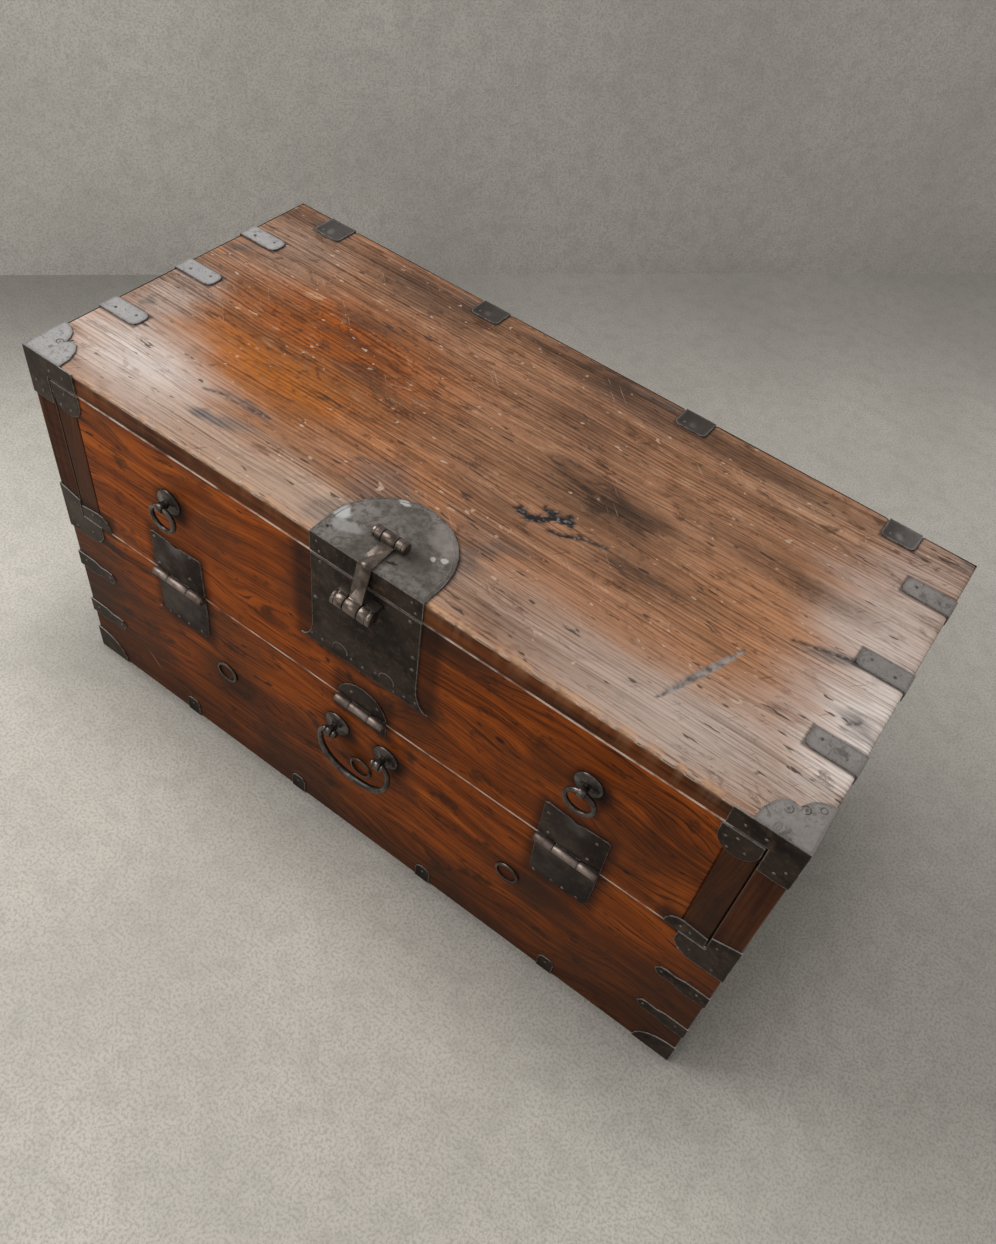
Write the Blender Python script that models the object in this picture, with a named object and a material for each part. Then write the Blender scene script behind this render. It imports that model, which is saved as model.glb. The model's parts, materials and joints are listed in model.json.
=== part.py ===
# Korean half-opening chest (bandaji): a hardwood case whose upper front folds down, bound with wrought iron.
# Metres, +Z up, closed at rest. The front faces -Y and the origin is the middle of the underside.

import math

import bmesh
import bpy
from mathutils import Vector

# The wooden case
case_width = 0.920
case_depth = 0.414
case_height = 0.506
top_thickness = 0.025
side_thickness = 0.036
post_width = 0.030
back_thickness = 0.018
bottom_thickness = 0.020
lower_front_thickness = 0.024
board_round = 0.0012
joint_gap = 0.0003

# The flap, which is the upper part of the front
fold_height = 0.2755
flap_thickness = 0.020
flap_side_gap = 0.0012
flap_fold_gap = 0.0008
flap_swing_clearance = 0.0006
batten_width = 0.031
tongue_length = 0.012
tongue_thickness = 0.006

# Sheet iron
plate_thickness = 0.0015
trim_thickness = 0.0012
iron_round = 0.0004
seat_gap = 0.0003
rim_setback = 0.0006

# How finely round shapes are drawn
arc_steps = 6
turn_steps = 24
ring_steps = 48
section_sides = 10
curve_steps = 3
smooth_angle = math.radians(35)

# The three hinges
knuckle_radius = 0.0048
knuckle_clearance = 0.0004
knuckle_side_gap = 0.0004
pin_radius = 0.0022
pin_clearance = 0.0003
side_hinge_place_share = 0.5857
side_hinge_width = 0.076
side_hinge_rise = 0.064
side_hinge_drop = 0.075
centre_hinge_width = 0.066
centre_hinge_rise = 0.037
centre_hinge_drop = 0.021
upper_knuckle_share = 0.40

# The lock and its hasp
lock_plate_width = 0.135
lock_plate_foot_width = 0.168
lock_hinge_gap = 0.0302
lock_flare_height = 0.032
top_plate_width = 0.136
top_plate_reach = 0.096
hasp_width = 0.0155
hasp_thickness = 0.003
hasp_bend_radius = 0.005
hasp_inner_bend_radius = 0.0006
hasp_side_gap = 0.0008
top_barrel_radius = 0.0067
top_barrel_reach = 0.0345
top_barrel_post_width = 0.0112
top_barrel_foot_width = 0.007
lock_barrel_radius = 0.0083
lock_barrel_gap = 0.0067
lock_barrel_drop = 0.0166
lock_knuckle_width = 0.0155
lock_knuckle_gap = 0.0013
lock_post_width = 0.0150
lock_post_tail_height = 0.007
lock_bar_radius = 0.0061
lock_bar_recess = 0.0012

# The two pull rings
ring_place_share = 0.5809
ring_rise_share = 0.4916
ring_outer_radius = 0.0185
ring_wire_radius = 0.0023
ring_stand = 0.0120
ring_eye_wall = 0.0021
ring_eye_width = 0.0080
ring_eye_clearance = 0.0003
ring_rosette_radius = 0.0160
ring_rosette_rim = 0.0012
ring_boss_radius = 0.0100
ring_boss_height = 0.0016

# The bail handle
bail_hinge_gap = 0.0231
bail_post_offset = 0.0350
bail_stand = 0.0140
bail_half_width = 0.0485
bail_drop = 0.0640
bail_end_radius = 0.0027
bail_grip_radius = 0.0042
bail_collar_radius = 0.0046
bail_collar_length = 0.0050
bail_bead_length = 0.0060
bail_eye_wall = 0.0029
bail_eye_width = 0.0070
bail_eye_clearance = 0.0004
bail_side_gap = 0.0005
bail_rosette_radius = 0.0170
bail_rosette_rim = 0.0012
bail_boss_radius = 0.0102
bail_boss_height = 0.0023

# The round stops on the lower front
stop_ring_place_share = 0.4565
stop_ring_rise_share = 0.5699
stop_ring_radius = 0.0155
stop_ring_width = 0.0028
stop_ring_thickness = 0.0025

# The corner irons and straps
top_corner_reach = 0.053
top_corner_side_reach = 0.053
top_corner_front_width = 0.071
top_corner_drop = 0.061
side_leg_length = 0.030
side_leg_drop = 0.012
flap_corner_width = 0.041
flap_corner_drop = 0.035
flap_foot_width = 0.046
flap_foot_rise = 0.021
mid_corner_width = 0.060
mid_corner_rise = 0.034
mid_corner_drop = 0.036
mid_corner_slope = 0.009
front_strap_length = 0.062
front_strap_height = 0.024
upper_strap_share = 0.6534
lower_strap_share = 0.3194
bottom_corner_width = 0.048
bottom_corner_rise = 0.040
side_strap_length = 0.052
side_strap_width = 0.025
side_strap_nose = 0.0075
left_strap_shares = (0.263, 0.522, 0.770)
right_strap_shares = (0.254, 0.527, 0.812)

# Outlines, as shares of the sizes above
stem_share = 0.6
side_upper_leaf_shares = [(-0.50, 0.96), (-0.44, 1.00), (-0.12, 0.97), (0.0, 0.92)]
side_lower_leaf_shares = [(-0.48, 0.88), (-0.38, 1.00), (-0.26, 0.92), (-0.13, 1.00), (0.0, 0.93)]
bail_curve_shares = [(1.00, 0.14), (1.01, 0.34), (0.95, 0.58), (0.78, 0.80), (0.50, 0.94), (0.22, 0.99)]
bail_thickness_shares = [0.20, 0.40, 0.65, 0.90, 1.00, 1.00]
top_corner_shares = [
    (1.00, 0.0), (0.97, 0.28), (0.86, 0.52), (0.72, 0.66), (0.60, 0.68), (0.50, 0.58),
    (0.46, 0.74), (0.36, 0.88), (0.24, 0.95), (0.10, 1.00), (0.0, 1.00),
]
front_strap_shares = [(0.0, 1.00), (0.45, 1.00), (0.62, 0.68), (0.80, 0.80), (0.92, 0.68), (1.00, 0.0)]
nose_shares = [(1.00, 1.00), (0.30, 0.70), (0.0, 0.0)]
flap_foot_shares = [(0.0, 0.80), (0.60, 1.00), (0.76, 0.94), (0.90, 0.70), (0.98, 0.36), (1.00, 0.0)]
mid_corner_inner_shares = [(1.00, 0.50), (0.88, 0.17), (0.70, 0.0)]

# Places that follow from the sizes above
front_face = -case_depth / 2
back_face = case_depth / 2
half_width = case_width / 2
top_underside = case_height - top_thickness
side_inner_face = half_width - side_thickness
opening_half_width = half_width - post_width
plate_back = front_face - seat_gap
plate_front = plate_back - plate_thickness
trim_front = plate_back - trim_thickness
fold_axis_y = front_face - knuckle_radius - knuckle_clearance
fold_axis = Vector((0, fold_axis_y, fold_height))
leaf_start = knuckle_radius + knuckle_side_gap
flap_front_reach = front_face - fold_axis_y
flap_back_reach = flap_front_reach + flap_thickness
swing_radius = top_underside - fold_height - flap_swing_clearance
flap_top = fold_height + math.sqrt(swing_radius ** 2 - flap_back_reach ** 2)
flap_bottom = fold_height + flap_fold_gap / 2
flap_half_width = opening_half_width - flap_side_gap
flap_back_face = front_face + flap_thickness
panel_half_width = flap_half_width - batten_width
lower_front_top = fold_height - flap_fold_gap / 2
lock_axis = Vector((0, plate_front - lock_barrel_gap - lock_barrel_radius, flap_top - lock_barrel_drop))
top_plate_face = case_height + seat_gap + plate_thickness
hasp_underside = top_plate_face + seat_gap
top_barrel_axis = Vector((0, front_face + top_barrel_reach, hasp_underside + top_barrel_radius))
bail_height = fold_height - centre_hinge_drop - bail_hinge_gap - bail_rosette_radius
bail_axis = Vector((0, front_face - bail_stand, bail_height))
side_hinge_offset = side_hinge_place_share * half_width
side_hinge_head = fold_height + side_hinge_rise
ring_offset = ring_place_share * half_width
ring_height = side_hinge_head + ring_rise_share * (flap_top - side_hinge_head)
ring_axis_y = front_face - ring_stand
stop_ring_offset = stop_ring_place_share * half_width
stop_ring_height = stop_ring_rise_share * fold_height
upper_strap_height = upper_strap_share * fold_height
lower_strap_height = lower_strap_share * fold_height
trim_skin = seat_gap + trim_thickness
trim_edge = half_width + trim_skin
trim_top = case_height + trim_skin


# Starting from an empty scene
for old_object in list(bpy.data.objects):
    bpy.data.objects.remove(old_object)


# Materials
def make_material(name, colour, roughness, metallic):
    material = bpy.data.materials.new(name)
    material.use_nodes = True
    shader = material.node_tree.nodes["Principled BSDF"]
    shader.inputs["Base Color"].default_value = (*colour, 1)
    shader.inputs["Roughness"].default_value = roughness
    shader.inputs["Metallic"].default_value = metallic
    return material


top_wood = make_material("top_wood", (0.23, 0.11, 0.05), 0.50, 0)
front_wood = make_material("front_wood", (0.15, 0.045, 0.016), 0.38, 0)
side_wood = make_material("side_wood", (0.17, 0.12, 0.08), 0.70, 0)
inner_wood = make_material("inner_wood", (0.30, 0.20, 0.12), 0.75, 0)
sheet_iron = make_material("sheet_iron", (0.055, 0.050, 0.047), 0.45, 0.85)
forged_iron = make_material("forged_iron", (0.085, 0.078, 0.075), 0.34, 0.95)


# The empties that carry the moving bodies, each on its joint's axis
def make_pivot(name, place, parent=None):
    pivot = bpy.data.objects.new(name, None)
    bpy.context.collection.objects.link(pivot)
    pivot.parent = parent
    pivot.location = place - (world_place[parent.name] if parent else Vector())
    world_place[name] = place.copy()
    return pivot


world_place = {}
case_pivot = make_pivot("case_pivot", Vector())
flap_pivot = make_pivot("flap_pivot", fold_axis, case_pivot)
hasp_pivot = make_pivot("hasp_pivot", lock_axis, flap_pivot)
bail_pivot = make_pivot("bail_pivot", bail_axis, case_pivot)


# Tools that shape one closed solid in world coordinates
def solid_from(mesh_data, name="solid"):
    bmesh.ops.recalc_face_normals(mesh_data, faces=mesh_data.faces)
    mesh = bpy.data.meshes.new(name)
    mesh_data.to_mesh(mesh)
    mesh_data.free()
    solid = bpy.data.objects.new(name, mesh)
    bpy.context.collection.objects.link(solid)
    return solid


def box(low, high, rounding=0.0):
    mesh_data = bmesh.new()
    bmesh.ops.create_cube(mesh_data, size=1)
    for vert in mesh_data.verts:
        share = [coordinate + 1 / 2 for coordinate in vert.co]
        vert.co = [low[axis] + share[axis] * (high[axis] - low[axis]) for axis in range(3)]
    if rounding:
        bmesh.ops.bevel(mesh_data, geom=mesh_data.edges[:], offset=rounding, segments=1, affect="EDGES")
    return solid_from(mesh_data)


def side_box(side, low, high, rounding=0.0):
    """A box given for the right-hand side, or its mirror image on the left."""
    low_x, high_x = sorted((side * low[0], side * high[0]))
    return box((low_x, low[1], low[2]), (high_x, high[1], high[2]), rounding)


def prism(outline, to_world, low, high, rounding=0.0):
    """Extrude a closed outline of (u, v) points between two levels, with the high rim rounded if asked."""
    mesh_data = bmesh.new()
    lower = [mesh_data.verts.new(to_world(u, v, low)) for u, v in outline]
    upper = [mesh_data.verts.new(to_world(u, v, high)) for u, v in outline]
    mesh_data.faces.new(lower)
    top_face = mesh_data.faces.new(upper)
    for index in range(len(outline)):
        after = (index + 1) % len(outline)
        mesh_data.faces.new((lower[index], lower[after], upper[after], upper[index]))
    if rounding:
        bmesh.ops.bevel(mesh_data, geom=top_face.edges[:], offset=rounding, segments=1, affect="EDGES")
    return solid_from(mesh_data)


def on_front(u, v, w):
    return (u, -w, v)


def on_top(u, v, w):
    return (u, v, w)


def across(u, v, w):
    return (w, u, v)


def rod(start, end, place, radius, rounding=0.0):
    """A cylinder along X from start to end around the axis through place."""
    outline = arc(place[1], place[2], radius, 0, 2 * math.pi, turn_steps)[:-1]
    levels = [(start, radius), (end, radius)]
    if rounding:
        levels = [(start, radius - rounding), (start + rounding, radius)]
        levels += [(end - rounding, radius), (end, radius - rounding)]
    mesh_data = bmesh.new()
    rings = []
    for x, ring_radius in levels:
        size = ring_radius / radius
        ring = [(x, place[1] + (y - place[1]) * size, place[2] + (z - place[2]) * size) for y, z in outline]
        rings.append([mesh_data.verts.new(point) for point in ring])
    mesh_data.faces.new(rings[0])
    mesh_data.faces.new(rings[-1])
    join_rings(mesh_data, rings)
    return solid_from(mesh_data)


def join_rings(mesh_data, rings):
    for before, after in zip(rings, rings[1:]):
        for index in range(len(before)):
            following = (index + 1) % len(before)
            mesh_data.faces.new((before[index], before[following], after[following], after[index]))


def turned(profile, centre):
    """Turn a profile of (radius, stand) points round a line along Y; the stand is towards the front."""
    mesh_data = bmesh.new()
    rings = []
    for radius, stand in profile:
        ring = arc(centre[0], centre[2], radius, 0, 2 * math.pi, turn_steps)[:-1]
        rings.append([mesh_data.verts.new((x, centre[1] - stand, z)) for x, z in ring])
    mesh_data.faces.new(rings[0])
    mesh_data.faces.new(rings[-1])
    join_rings(mesh_data, rings)
    return solid_from(mesh_data)


def tube(path, radii, closed=False):
    """Sweep a round section, whose radius may change, along a path that lies in one XZ plane."""
    mesh_data = bmesh.new()
    rings = []
    count = len(path)
    for index, (point, radius) in enumerate(zip(path, radii)):
        if closed:
            along = path[(index + 1) % count] - path[index - 1]
        else:
            along = path[min(index + 1, count - 1)] - path[max(index - 1, 0)]
        along.normalize()
        out = Vector((0, -1, 0))
        beside = along.cross(out)
        section = arc(0, 0, radius, 0, 2 * math.pi, section_sides)[:-1]
        ring = [point + out * u + beside * v for u, v in section]
        rings.append([mesh_data.verts.new(corner) for corner in ring])
    if closed:
        join_rings(mesh_data, rings + [rings[0]])
    else:
        mesh_data.faces.new(rings[0])
        mesh_data.faces.new(rings[-1])
        join_rings(mesh_data, rings)
    return solid_from(mesh_data)


def combine(body, tool, operation):
    step = body.modifiers.new("combine", "BOOLEAN")
    step.solver = "EXACT"
    step.operation = operation
    step.object = tool
    bpy.context.view_layer.update()
    shaped = body.evaluated_get(bpy.context.evaluated_depsgraph_get())
    mesh = bpy.data.meshes.new_from_object(shaped)
    body.modifiers.remove(step)
    body.data = mesh
    bpy.data.objects.remove(tool)
    return body


def join(body, *others):
    for other in others:
        combine(body, other, "UNION")
    return body


def cut(body, *tools):
    for tool in tools:
        combine(body, tool, "DIFFERENCE")
    return body


def finish(body, name, material, parent, origin=None):
    """Give a solid its name and material, and hang it on its parent with its origin where it turns."""
    origin = world_place[parent.name].copy() if origin is None else origin
    body.name = name
    body.data.name = name
    body.data.materials.clear()
    body.data.materials.append(material)
    for vert in body.data.vertices:
        vert.co = vert.co - origin
    body.parent = parent
    body.location = origin - world_place[parent.name]
    body.data.shade_smooth()
    body.data.set_sharp_from_angle(angle=smooth_angle)
    return body


# Outlines
def arc(centre_u, centre_v, radius, start, end, steps):
    turns = [start + (end - start) * step / steps for step in range(steps + 1)]
    return [(centre_u + radius * math.cos(turn), centre_v + radius * math.sin(turn)) for turn in turns]


def from_shares(shares, origin, sizes):
    """Place points given as shares of a width and a height, which may be negative, from an origin."""
    return [(origin[0] + u * sizes[0], origin[1] + v * sizes[1]) for u, v in shares]


def symmetric(points):
    """Complete a half outline that ends on the middle line by its mirror image in that line."""
    return points + [(-u, v) for u, v in reversed(points) if u]


def mirrored(outline, side):
    """Keep a right-hand outline as it is, or turn it over for the left side."""
    return outline if side > 0 else [(-u, v) for u, v in reversed(outline)]


def side_names(stem):
    return [(-1, stem + "_left"), (1, stem + "_right")]


quarter = math.pi / 2


# Boards of the case
def make_case():
    top = box((-half_width, front_face, top_underside), (half_width, back_face, case_height), board_round)
    finish(top, "top_board", top_wood, case_pivot, Vector((0, 0, top_underside)))

    lower_back = front_face + lower_front_thickness
    low_front = box((-half_width, front_face, 0), (half_width, lower_back, lower_front_top), board_round)
    finish(low_front, "lower_front_board", front_wood, case_pivot, Vector((0, front_face, 0)))

    side_top = top_underside - joint_gap
    post_foot = lower_front_top + joint_gap
    side_front = lower_back + joint_gap
    outline = [
        (side_front, 0),
        (back_face, 0),
        (back_face, side_top),
        (front_face, side_top),
        (front_face, post_foot),
        (side_front, post_foot),
    ]
    rebate_low = (side_inner_face - joint_gap, front_face - joint_gap, post_foot - joint_gap)
    rebate_high = (opening_half_width, flap_back_face + joint_gap, case_height)
    for side, name in side_names("side_board"):
        board = prism(outline, across, side * side_inner_face, side * half_width)
        cut(board, side_box(side, rebate_low, rebate_high))
        finish(board, name, side_wood, case_pivot, Vector((side * half_width, 0, 0)))

    inner = side_inner_face - joint_gap
    back = box((-inner, back_face - back_thickness, 0), (inner, back_face, side_top), board_round)
    finish(back, "back_board", side_wood, case_pivot, Vector((0, back_face, 0)))

    bottom_back = back_face - back_thickness - joint_gap
    bottom = box((-inner, side_front, 0), (inner, bottom_back, bottom_thickness), board_round)
    finish(bottom, "bottom_board", inner_wood, case_pivot)


# The flap: a panel between two end battens, held by tongues
def make_flap():
    low = Vector((-panel_half_width, front_face, flap_bottom))
    high = Vector((panel_half_width, flap_back_face, flap_top))
    panel = box(low, high, board_round)
    tongue_y = (low.y + high.y) / 2
    tongue_reach = Vector((panel_half_width + tongue_length, tongue_thickness / 2, 0))
    tongue_low = Vector((0, tongue_y, flap_bottom + tongue_length)) - tongue_reach
    tongue_high = Vector((0, tongue_y, flap_top - tongue_length)) + tongue_reach
    join(panel, box(tongue_low, tongue_high))
    finish(panel, "flap_panel", front_wood, flap_pivot)

    inner = panel_half_width + joint_gap
    groove_gap = Vector((joint_gap, joint_gap, joint_gap))
    groove_low = tongue_low - groove_gap
    groove_low.x = panel_half_width
    groove_high = tongue_high + groove_gap
    for side, name in side_names("flap_batten"):
        batten_low = (inner, front_face, flap_bottom)
        batten_high = (flap_half_width, flap_back_face, flap_top)
        batten = side_box(side, batten_low, batten_high, board_round)
        cut(batten, side_box(side, groove_low, groove_high))
        finish(batten, name, front_wood, flap_pivot)


# Hinges whose knuckles stand outside the case, on the fold line
def make_hinge(name, centre, width, upper_outline, lower_outline):
    axis = Vector((centre, fold_axis_y, fold_height))
    half = width / 2
    upper_half = width * upper_knuckle_share / 2

    def leaf(outline, neck_height, spans):
        """A plate on the board, with a neck and a bored knuckle on each span of the fold line."""
        plate = prism(outline, on_front, -plate_back, -plate_front, iron_round)
        bores = []
        for start, end in spans:
            neck_low = (start + iron_round, plate_front, min(fold_height, neck_height))
            neck_high = (end - iron_round, plate_back, max(fold_height, neck_height))
            join(plate, box(neck_low, neck_high), rod(start, end, axis, knuckle_radius, iron_round))
            bores.append(rod(start - width, end + width, axis, pin_radius + pin_clearance))
        return cut(plate, *bores)

    upper_end = upper_half - knuckle_side_gap / 2
    upper_spans = [(centre - upper_end, centre + upper_end)]
    upper = leaf(upper_outline, fold_height + leaf_start + plate_thickness, upper_spans)
    finish(upper, "hinge_upper_leaf_" + name, sheet_iron, flap_pivot)
    lower_start = upper_half + knuckle_side_gap / 2
    lower_spans = [(centre - half, centre - lower_start), (centre + lower_start, centre + half)]
    lower = leaf(lower_outline, fold_height - leaf_start - plate_thickness, lower_spans)
    finish(lower, "hinge_lower_leaf_" + name, sheet_iron, case_pivot, axis)
    pin = rod(centre - half, centre + half, axis, pin_radius, iron_round)
    finish(pin, "hinge_pin_" + name, forged_iron, case_pivot, axis)


def make_side_hinge(name, centre):
    half = side_hinge_width / 2
    upper_foot = fold_height + leaf_start
    lower_head = fold_height - leaf_start
    rise = (side_hinge_width, side_hinge_rise - leaf_start)
    drop = (side_hinge_width, leaf_start - side_hinge_drop)
    upper_edge = from_shares(symmetric(side_upper_leaf_shares), (centre, upper_foot), rise)
    lower_edge = from_shares(symmetric(side_lower_leaf_shares), (centre, lower_head), drop)
    upper = [(centre + half, upper_foot), (centre - half, upper_foot)] + upper_edge
    lower = [(centre + half, lower_head), (centre - half, lower_head)] + lower_edge
    make_hinge(name, centre, side_hinge_width, upper, lower)


def make_centre_hinge():
    half = centre_hinge_width / 2
    rise = centre_hinge_rise - leaf_start
    upper_foot = fold_height + leaf_start
    lower_head = fold_height - leaf_start
    upper = [(half * u, upper_foot + rise * v) for u, v in arc(0, 0, 1, 0, math.pi, 2 * arc_steps)]
    lower = [(half, lower_head), (-half, lower_head)]
    lower += [(-half, fold_height - centre_hinge_drop), (half, fold_height - centre_hinge_drop)]
    make_hinge("centre", 0, centre_hinge_width, upper, lower)


# The lock: a round-backed plate on the top, a flared plate on the flap, and a hasp between them
def make_top_plate():
    half = top_plate_width / 2
    round_y = front_face + top_plate_reach - half
    outline = [(-half, plate_front), (half, plate_front)] + arc(0, round_y, half, 0, math.pi, 2 * arc_steps)
    cap = prism(outline, on_top, case_height + seat_gap, top_plate_face, iron_round)
    apron_foot = top_underside + rim_setback
    join(cap, box((-half, plate_front, apron_foot), (half, plate_back, top_plate_face - iron_round)))
    finish(cap, "top_lock_plate", sheet_iron, case_pivot, Vector((0, front_face, case_height)))


def make_top_barrel():
    inner = hasp_width / 2 + hasp_side_gap
    outer = inner + top_barrel_post_width
    middle = (inner + outer) / 2
    foot_half = top_barrel_foot_width / 2
    foot_low = (middle - foot_half, top_barrel_axis.y - foot_half, hasp_underside)
    foot_high = (middle + foot_half, top_barrel_axis.y + foot_half, top_barrel_axis.z)
    for side, name in side_names("top_barrel_post"):
        low, high = sorted((side * inner, side * outer))
        barrel = rod(low, high, top_barrel_axis, top_barrel_radius, iron_round)
        join(barrel, side_box(side, foot_low, foot_high))
        finish(barrel, name, forged_iron, case_pivot, Vector((side * middle, *top_barrel_axis.yz)))


def make_hasp():
    """A bent strap: over the top plate, round its front edge and down to the lock barrel."""
    outer_top = hasp_underside + hasp_thickness
    leg_back = plate_front - seat_gap
    outer_y = leg_back - hasp_thickness + hasp_bend_radius
    outer_z = outer_top - hasp_bend_radius
    inner_y = leg_back + hasp_inner_bend_radius
    inner_z = hasp_underside - hasp_inner_bend_radius
    leg_foot = [(lock_axis.y, lock_axis.z), (lock_axis.y + hasp_thickness, lock_axis.z)]
    outline = [(top_barrel_axis.y, outer_top)]
    outline += arc(outer_y, outer_z, hasp_bend_radius, quarter, 2 * quarter, arc_steps)
    outline += leg_foot
    outline += arc(inner_y, inner_z, hasp_inner_bend_radius, 2 * quarter, quarter, arc_steps)
    outline += [(top_barrel_axis.y, hasp_underside)]
    half = hasp_width / 2
    strap = prism(outline, across, -half, half)
    eye_half = lock_knuckle_width / 2
    eye = rod(-eye_half, eye_half, lock_axis, lock_barrel_radius, iron_round)
    top_knuckle = rod(-half, half, top_barrel_axis, top_barrel_radius, iron_round)
    join(strap, eye, top_knuckle)
    bore = rod(-lock_knuckle_width, lock_knuckle_width, lock_axis, lock_bar_radius + pin_clearance)
    finish(cut(strap, bore), "hasp", forged_iron, hasp_pivot)


def make_flap_lock():
    top = flap_top - rim_setback
    foot = fold_height + centre_hinge_rise + lock_hinge_gap
    half = lock_plate_width / 2
    flare = lock_plate_foot_width / 2 - half
    flare_arc = arc(1, 1, 1, 3 * quarter, 2 * quarter, arc_steps)
    right = from_shares(flare_arc, (half, foot), (flare, lock_flare_height)) + [(half, top)]
    left = [(-u, v) for u, v in reversed(right)]
    plate = prism(right + left, on_front, -plate_back, -plate_front, iron_round)
    finish(plate, "lock_plate", sheet_iron, flap_pivot)

    inner = lock_knuckle_width / 2 + lock_knuckle_gap
    outer = inner + lock_post_width
    tail_top = lock_axis.z + lock_barrel_radius - iron_round
    tail_low = (inner + 2 * iron_round, lock_axis.y, tail_top - lock_post_tail_height)
    tail_high = (outer - 2 * iron_round, plate_front - seat_gap, tail_top)
    for side, name in side_names("lock_post"):
        low, high = sorted((side * inner, side * outer))
        band = rod(low, high, lock_axis, lock_barrel_radius, iron_round)
        join(band, side_box(side, tail_low, tail_high))
        cut(band, rod(low - outer, high + outer, lock_axis, lock_bar_radius + pin_clearance))
        finish(band, name, forged_iron, flap_pivot)
    bar_end = outer - lock_bar_recess
    bar = rod(-bar_end, bar_end, lock_axis, lock_bar_radius, iron_round)
    finish(bar, "lock_bar", forged_iron, flap_pivot)


# An eye that stands out from its rosette and holds a ring or a handle
def make_rosette(centre, radius, rim, boss_radius, boss_height):
    profile = [
        (radius, 0),
        (radius, rim),
        (radius - rim, 2 * rim),
        (boss_radius, 2 * rim),
        (boss_radius - boss_height, 2 * rim + boss_height),
    ]
    return turned(profile, centre)


def make_eye(axis, width, hole_radius, wall, stem_back):
    outer = hole_radius + wall
    start = axis.x - width / 2
    end = axis.x + width / 2
    eye = rod(start, end, axis, outer, iron_round)
    stem_half = outer * stem_share
    stem_low = (start + iron_round, axis.y, axis.z - stem_half)
    stem_high = (end - iron_round, stem_back, axis.z + stem_half)
    join(eye, box(stem_low, stem_high))
    return cut(eye, rod(start - width, end + width, axis, hole_radius))


def make_pull_ring(side, suffix):
    centre = Vector((side * ring_offset, plate_back, ring_height))
    rosette = make_rosette(centre, ring_rosette_radius, ring_rosette_rim, ring_boss_radius, ring_boss_height)
    finish(rosette, "ring_rosette" + suffix, forged_iron, flap_pivot, centre)

    axis = Vector((side * ring_offset, ring_axis_y, ring_height))
    middle = ring_outer_radius - ring_wire_radius
    sag = middle - math.sqrt(middle ** 2 - (ring_eye_width / 2) ** 2)
    hole_radius = ring_wire_radius + sag + ring_eye_clearance
    stem_back = centre.y - 2 * ring_rosette_rim - ring_boss_height - seat_gap
    eye = make_eye(axis, ring_eye_width, hole_radius, ring_eye_wall, stem_back)
    finish(eye, "ring_post" + suffix, forged_iron, flap_pivot, axis)

    pivot = make_pivot("ring_pivot" + suffix, axis, flap_pivot)
    circle = arc(axis.x, axis.z - middle, middle, quarter, 5 * quarter, ring_steps)[:-1]
    path = [Vector((x, axis.y, z)) for x, z in circle]
    ring = tube(path, [ring_wire_radius] * ring_steps, closed=True)
    finish(ring, "pull_ring" + suffix, forged_iron, pivot)


# The bail handle on the lower front
def smooth_path(points):
    """Pass a smooth curve through points that each hold two places and a radius."""
    result = []
    last = len(points) - 1
    for index in range(last):
        before = points[max(index - 1, 0)]
        start = points[index]
        end = points[index + 1]
        after = points[min(index + 2, last)]
        for step in range(curve_steps):
            t = step / curve_steps
            weights = (
                -t + 2 * t ** 2 - t ** 3,
                2 - 5 * t ** 2 + 3 * t ** 3,
                t + 4 * t ** 2 - 3 * t ** 3,
                t ** 3 - t ** 2,
            )
            four = zip(before, start, end, after)
            result.append(tuple(sum(w * value for w, value in zip(weights, values)) / 2 for values in four))
    result.append(points[-1])
    return result


def make_bail():
    """A grip with beaded ends that turn in the two eyes, a collar outside each eye, and a round drop."""
    eye_start = bail_post_offset - bail_eye_width / 2 - bail_side_gap
    eye_end = bail_post_offset + bail_eye_width / 2 + bail_side_gap
    round_end = bail_collar_radius - bail_end_radius
    collar_end = eye_end + bail_collar_length
    straight = [
        (eye_start - bail_bead_length, 0, bail_end_radius),
        (eye_start - bail_bead_length + round_end, 0, bail_collar_radius),
        (eye_start - iron_round, 0, bail_collar_radius),
        (eye_start, 0, bail_end_radius),
        (eye_end, 0, bail_end_radius),
        (eye_end + iron_round, 0, bail_collar_radius),
        (collar_end - round_end, 0, bail_collar_radius),
    ]
    swell = bail_grip_radius - bail_end_radius
    curve = [(collar_end, 0, bail_end_radius)]
    for (u, v), thickness in zip(bail_curve_shares, bail_thickness_shares):
        curve.append((u * bail_half_width, -v * bail_drop, bail_end_radius + swell * thickness))
    curve.append((0, -bail_drop, bail_grip_radius))
    right = straight + smooth_path(curve)
    left = [(-x, z, radius) for x, z, radius in reversed(right)][1:]
    stations = right + left
    path = [bail_axis + Vector((x, 0, z)) for x, z, radius in stations]
    handle = tube(path, [radius for x, z, radius in stations])
    finish(handle, "bail_handle", forged_iron, bail_pivot)

    boss_top = 2 * bail_rosette_rim + bail_boss_height
    for side, suffix in side_names(""):
        centre = Vector((side * bail_post_offset, plate_back, bail_height))
        rosette = make_rosette(
            centre, bail_rosette_radius, bail_rosette_rim, bail_boss_radius, bail_boss_height
        )
        finish(rosette, "bail_rosette" + suffix, forged_iron, case_pivot, centre)
        axis = Vector((side * bail_post_offset, *bail_axis.yz))
        stem_back = centre.y - boss_top - seat_gap
        eye = make_eye(axis, bail_eye_width, bail_end_radius + bail_eye_clearance, bail_eye_wall, stem_back)
        finish(eye, "bail_post" + suffix, forged_iron, case_pivot, axis)


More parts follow.
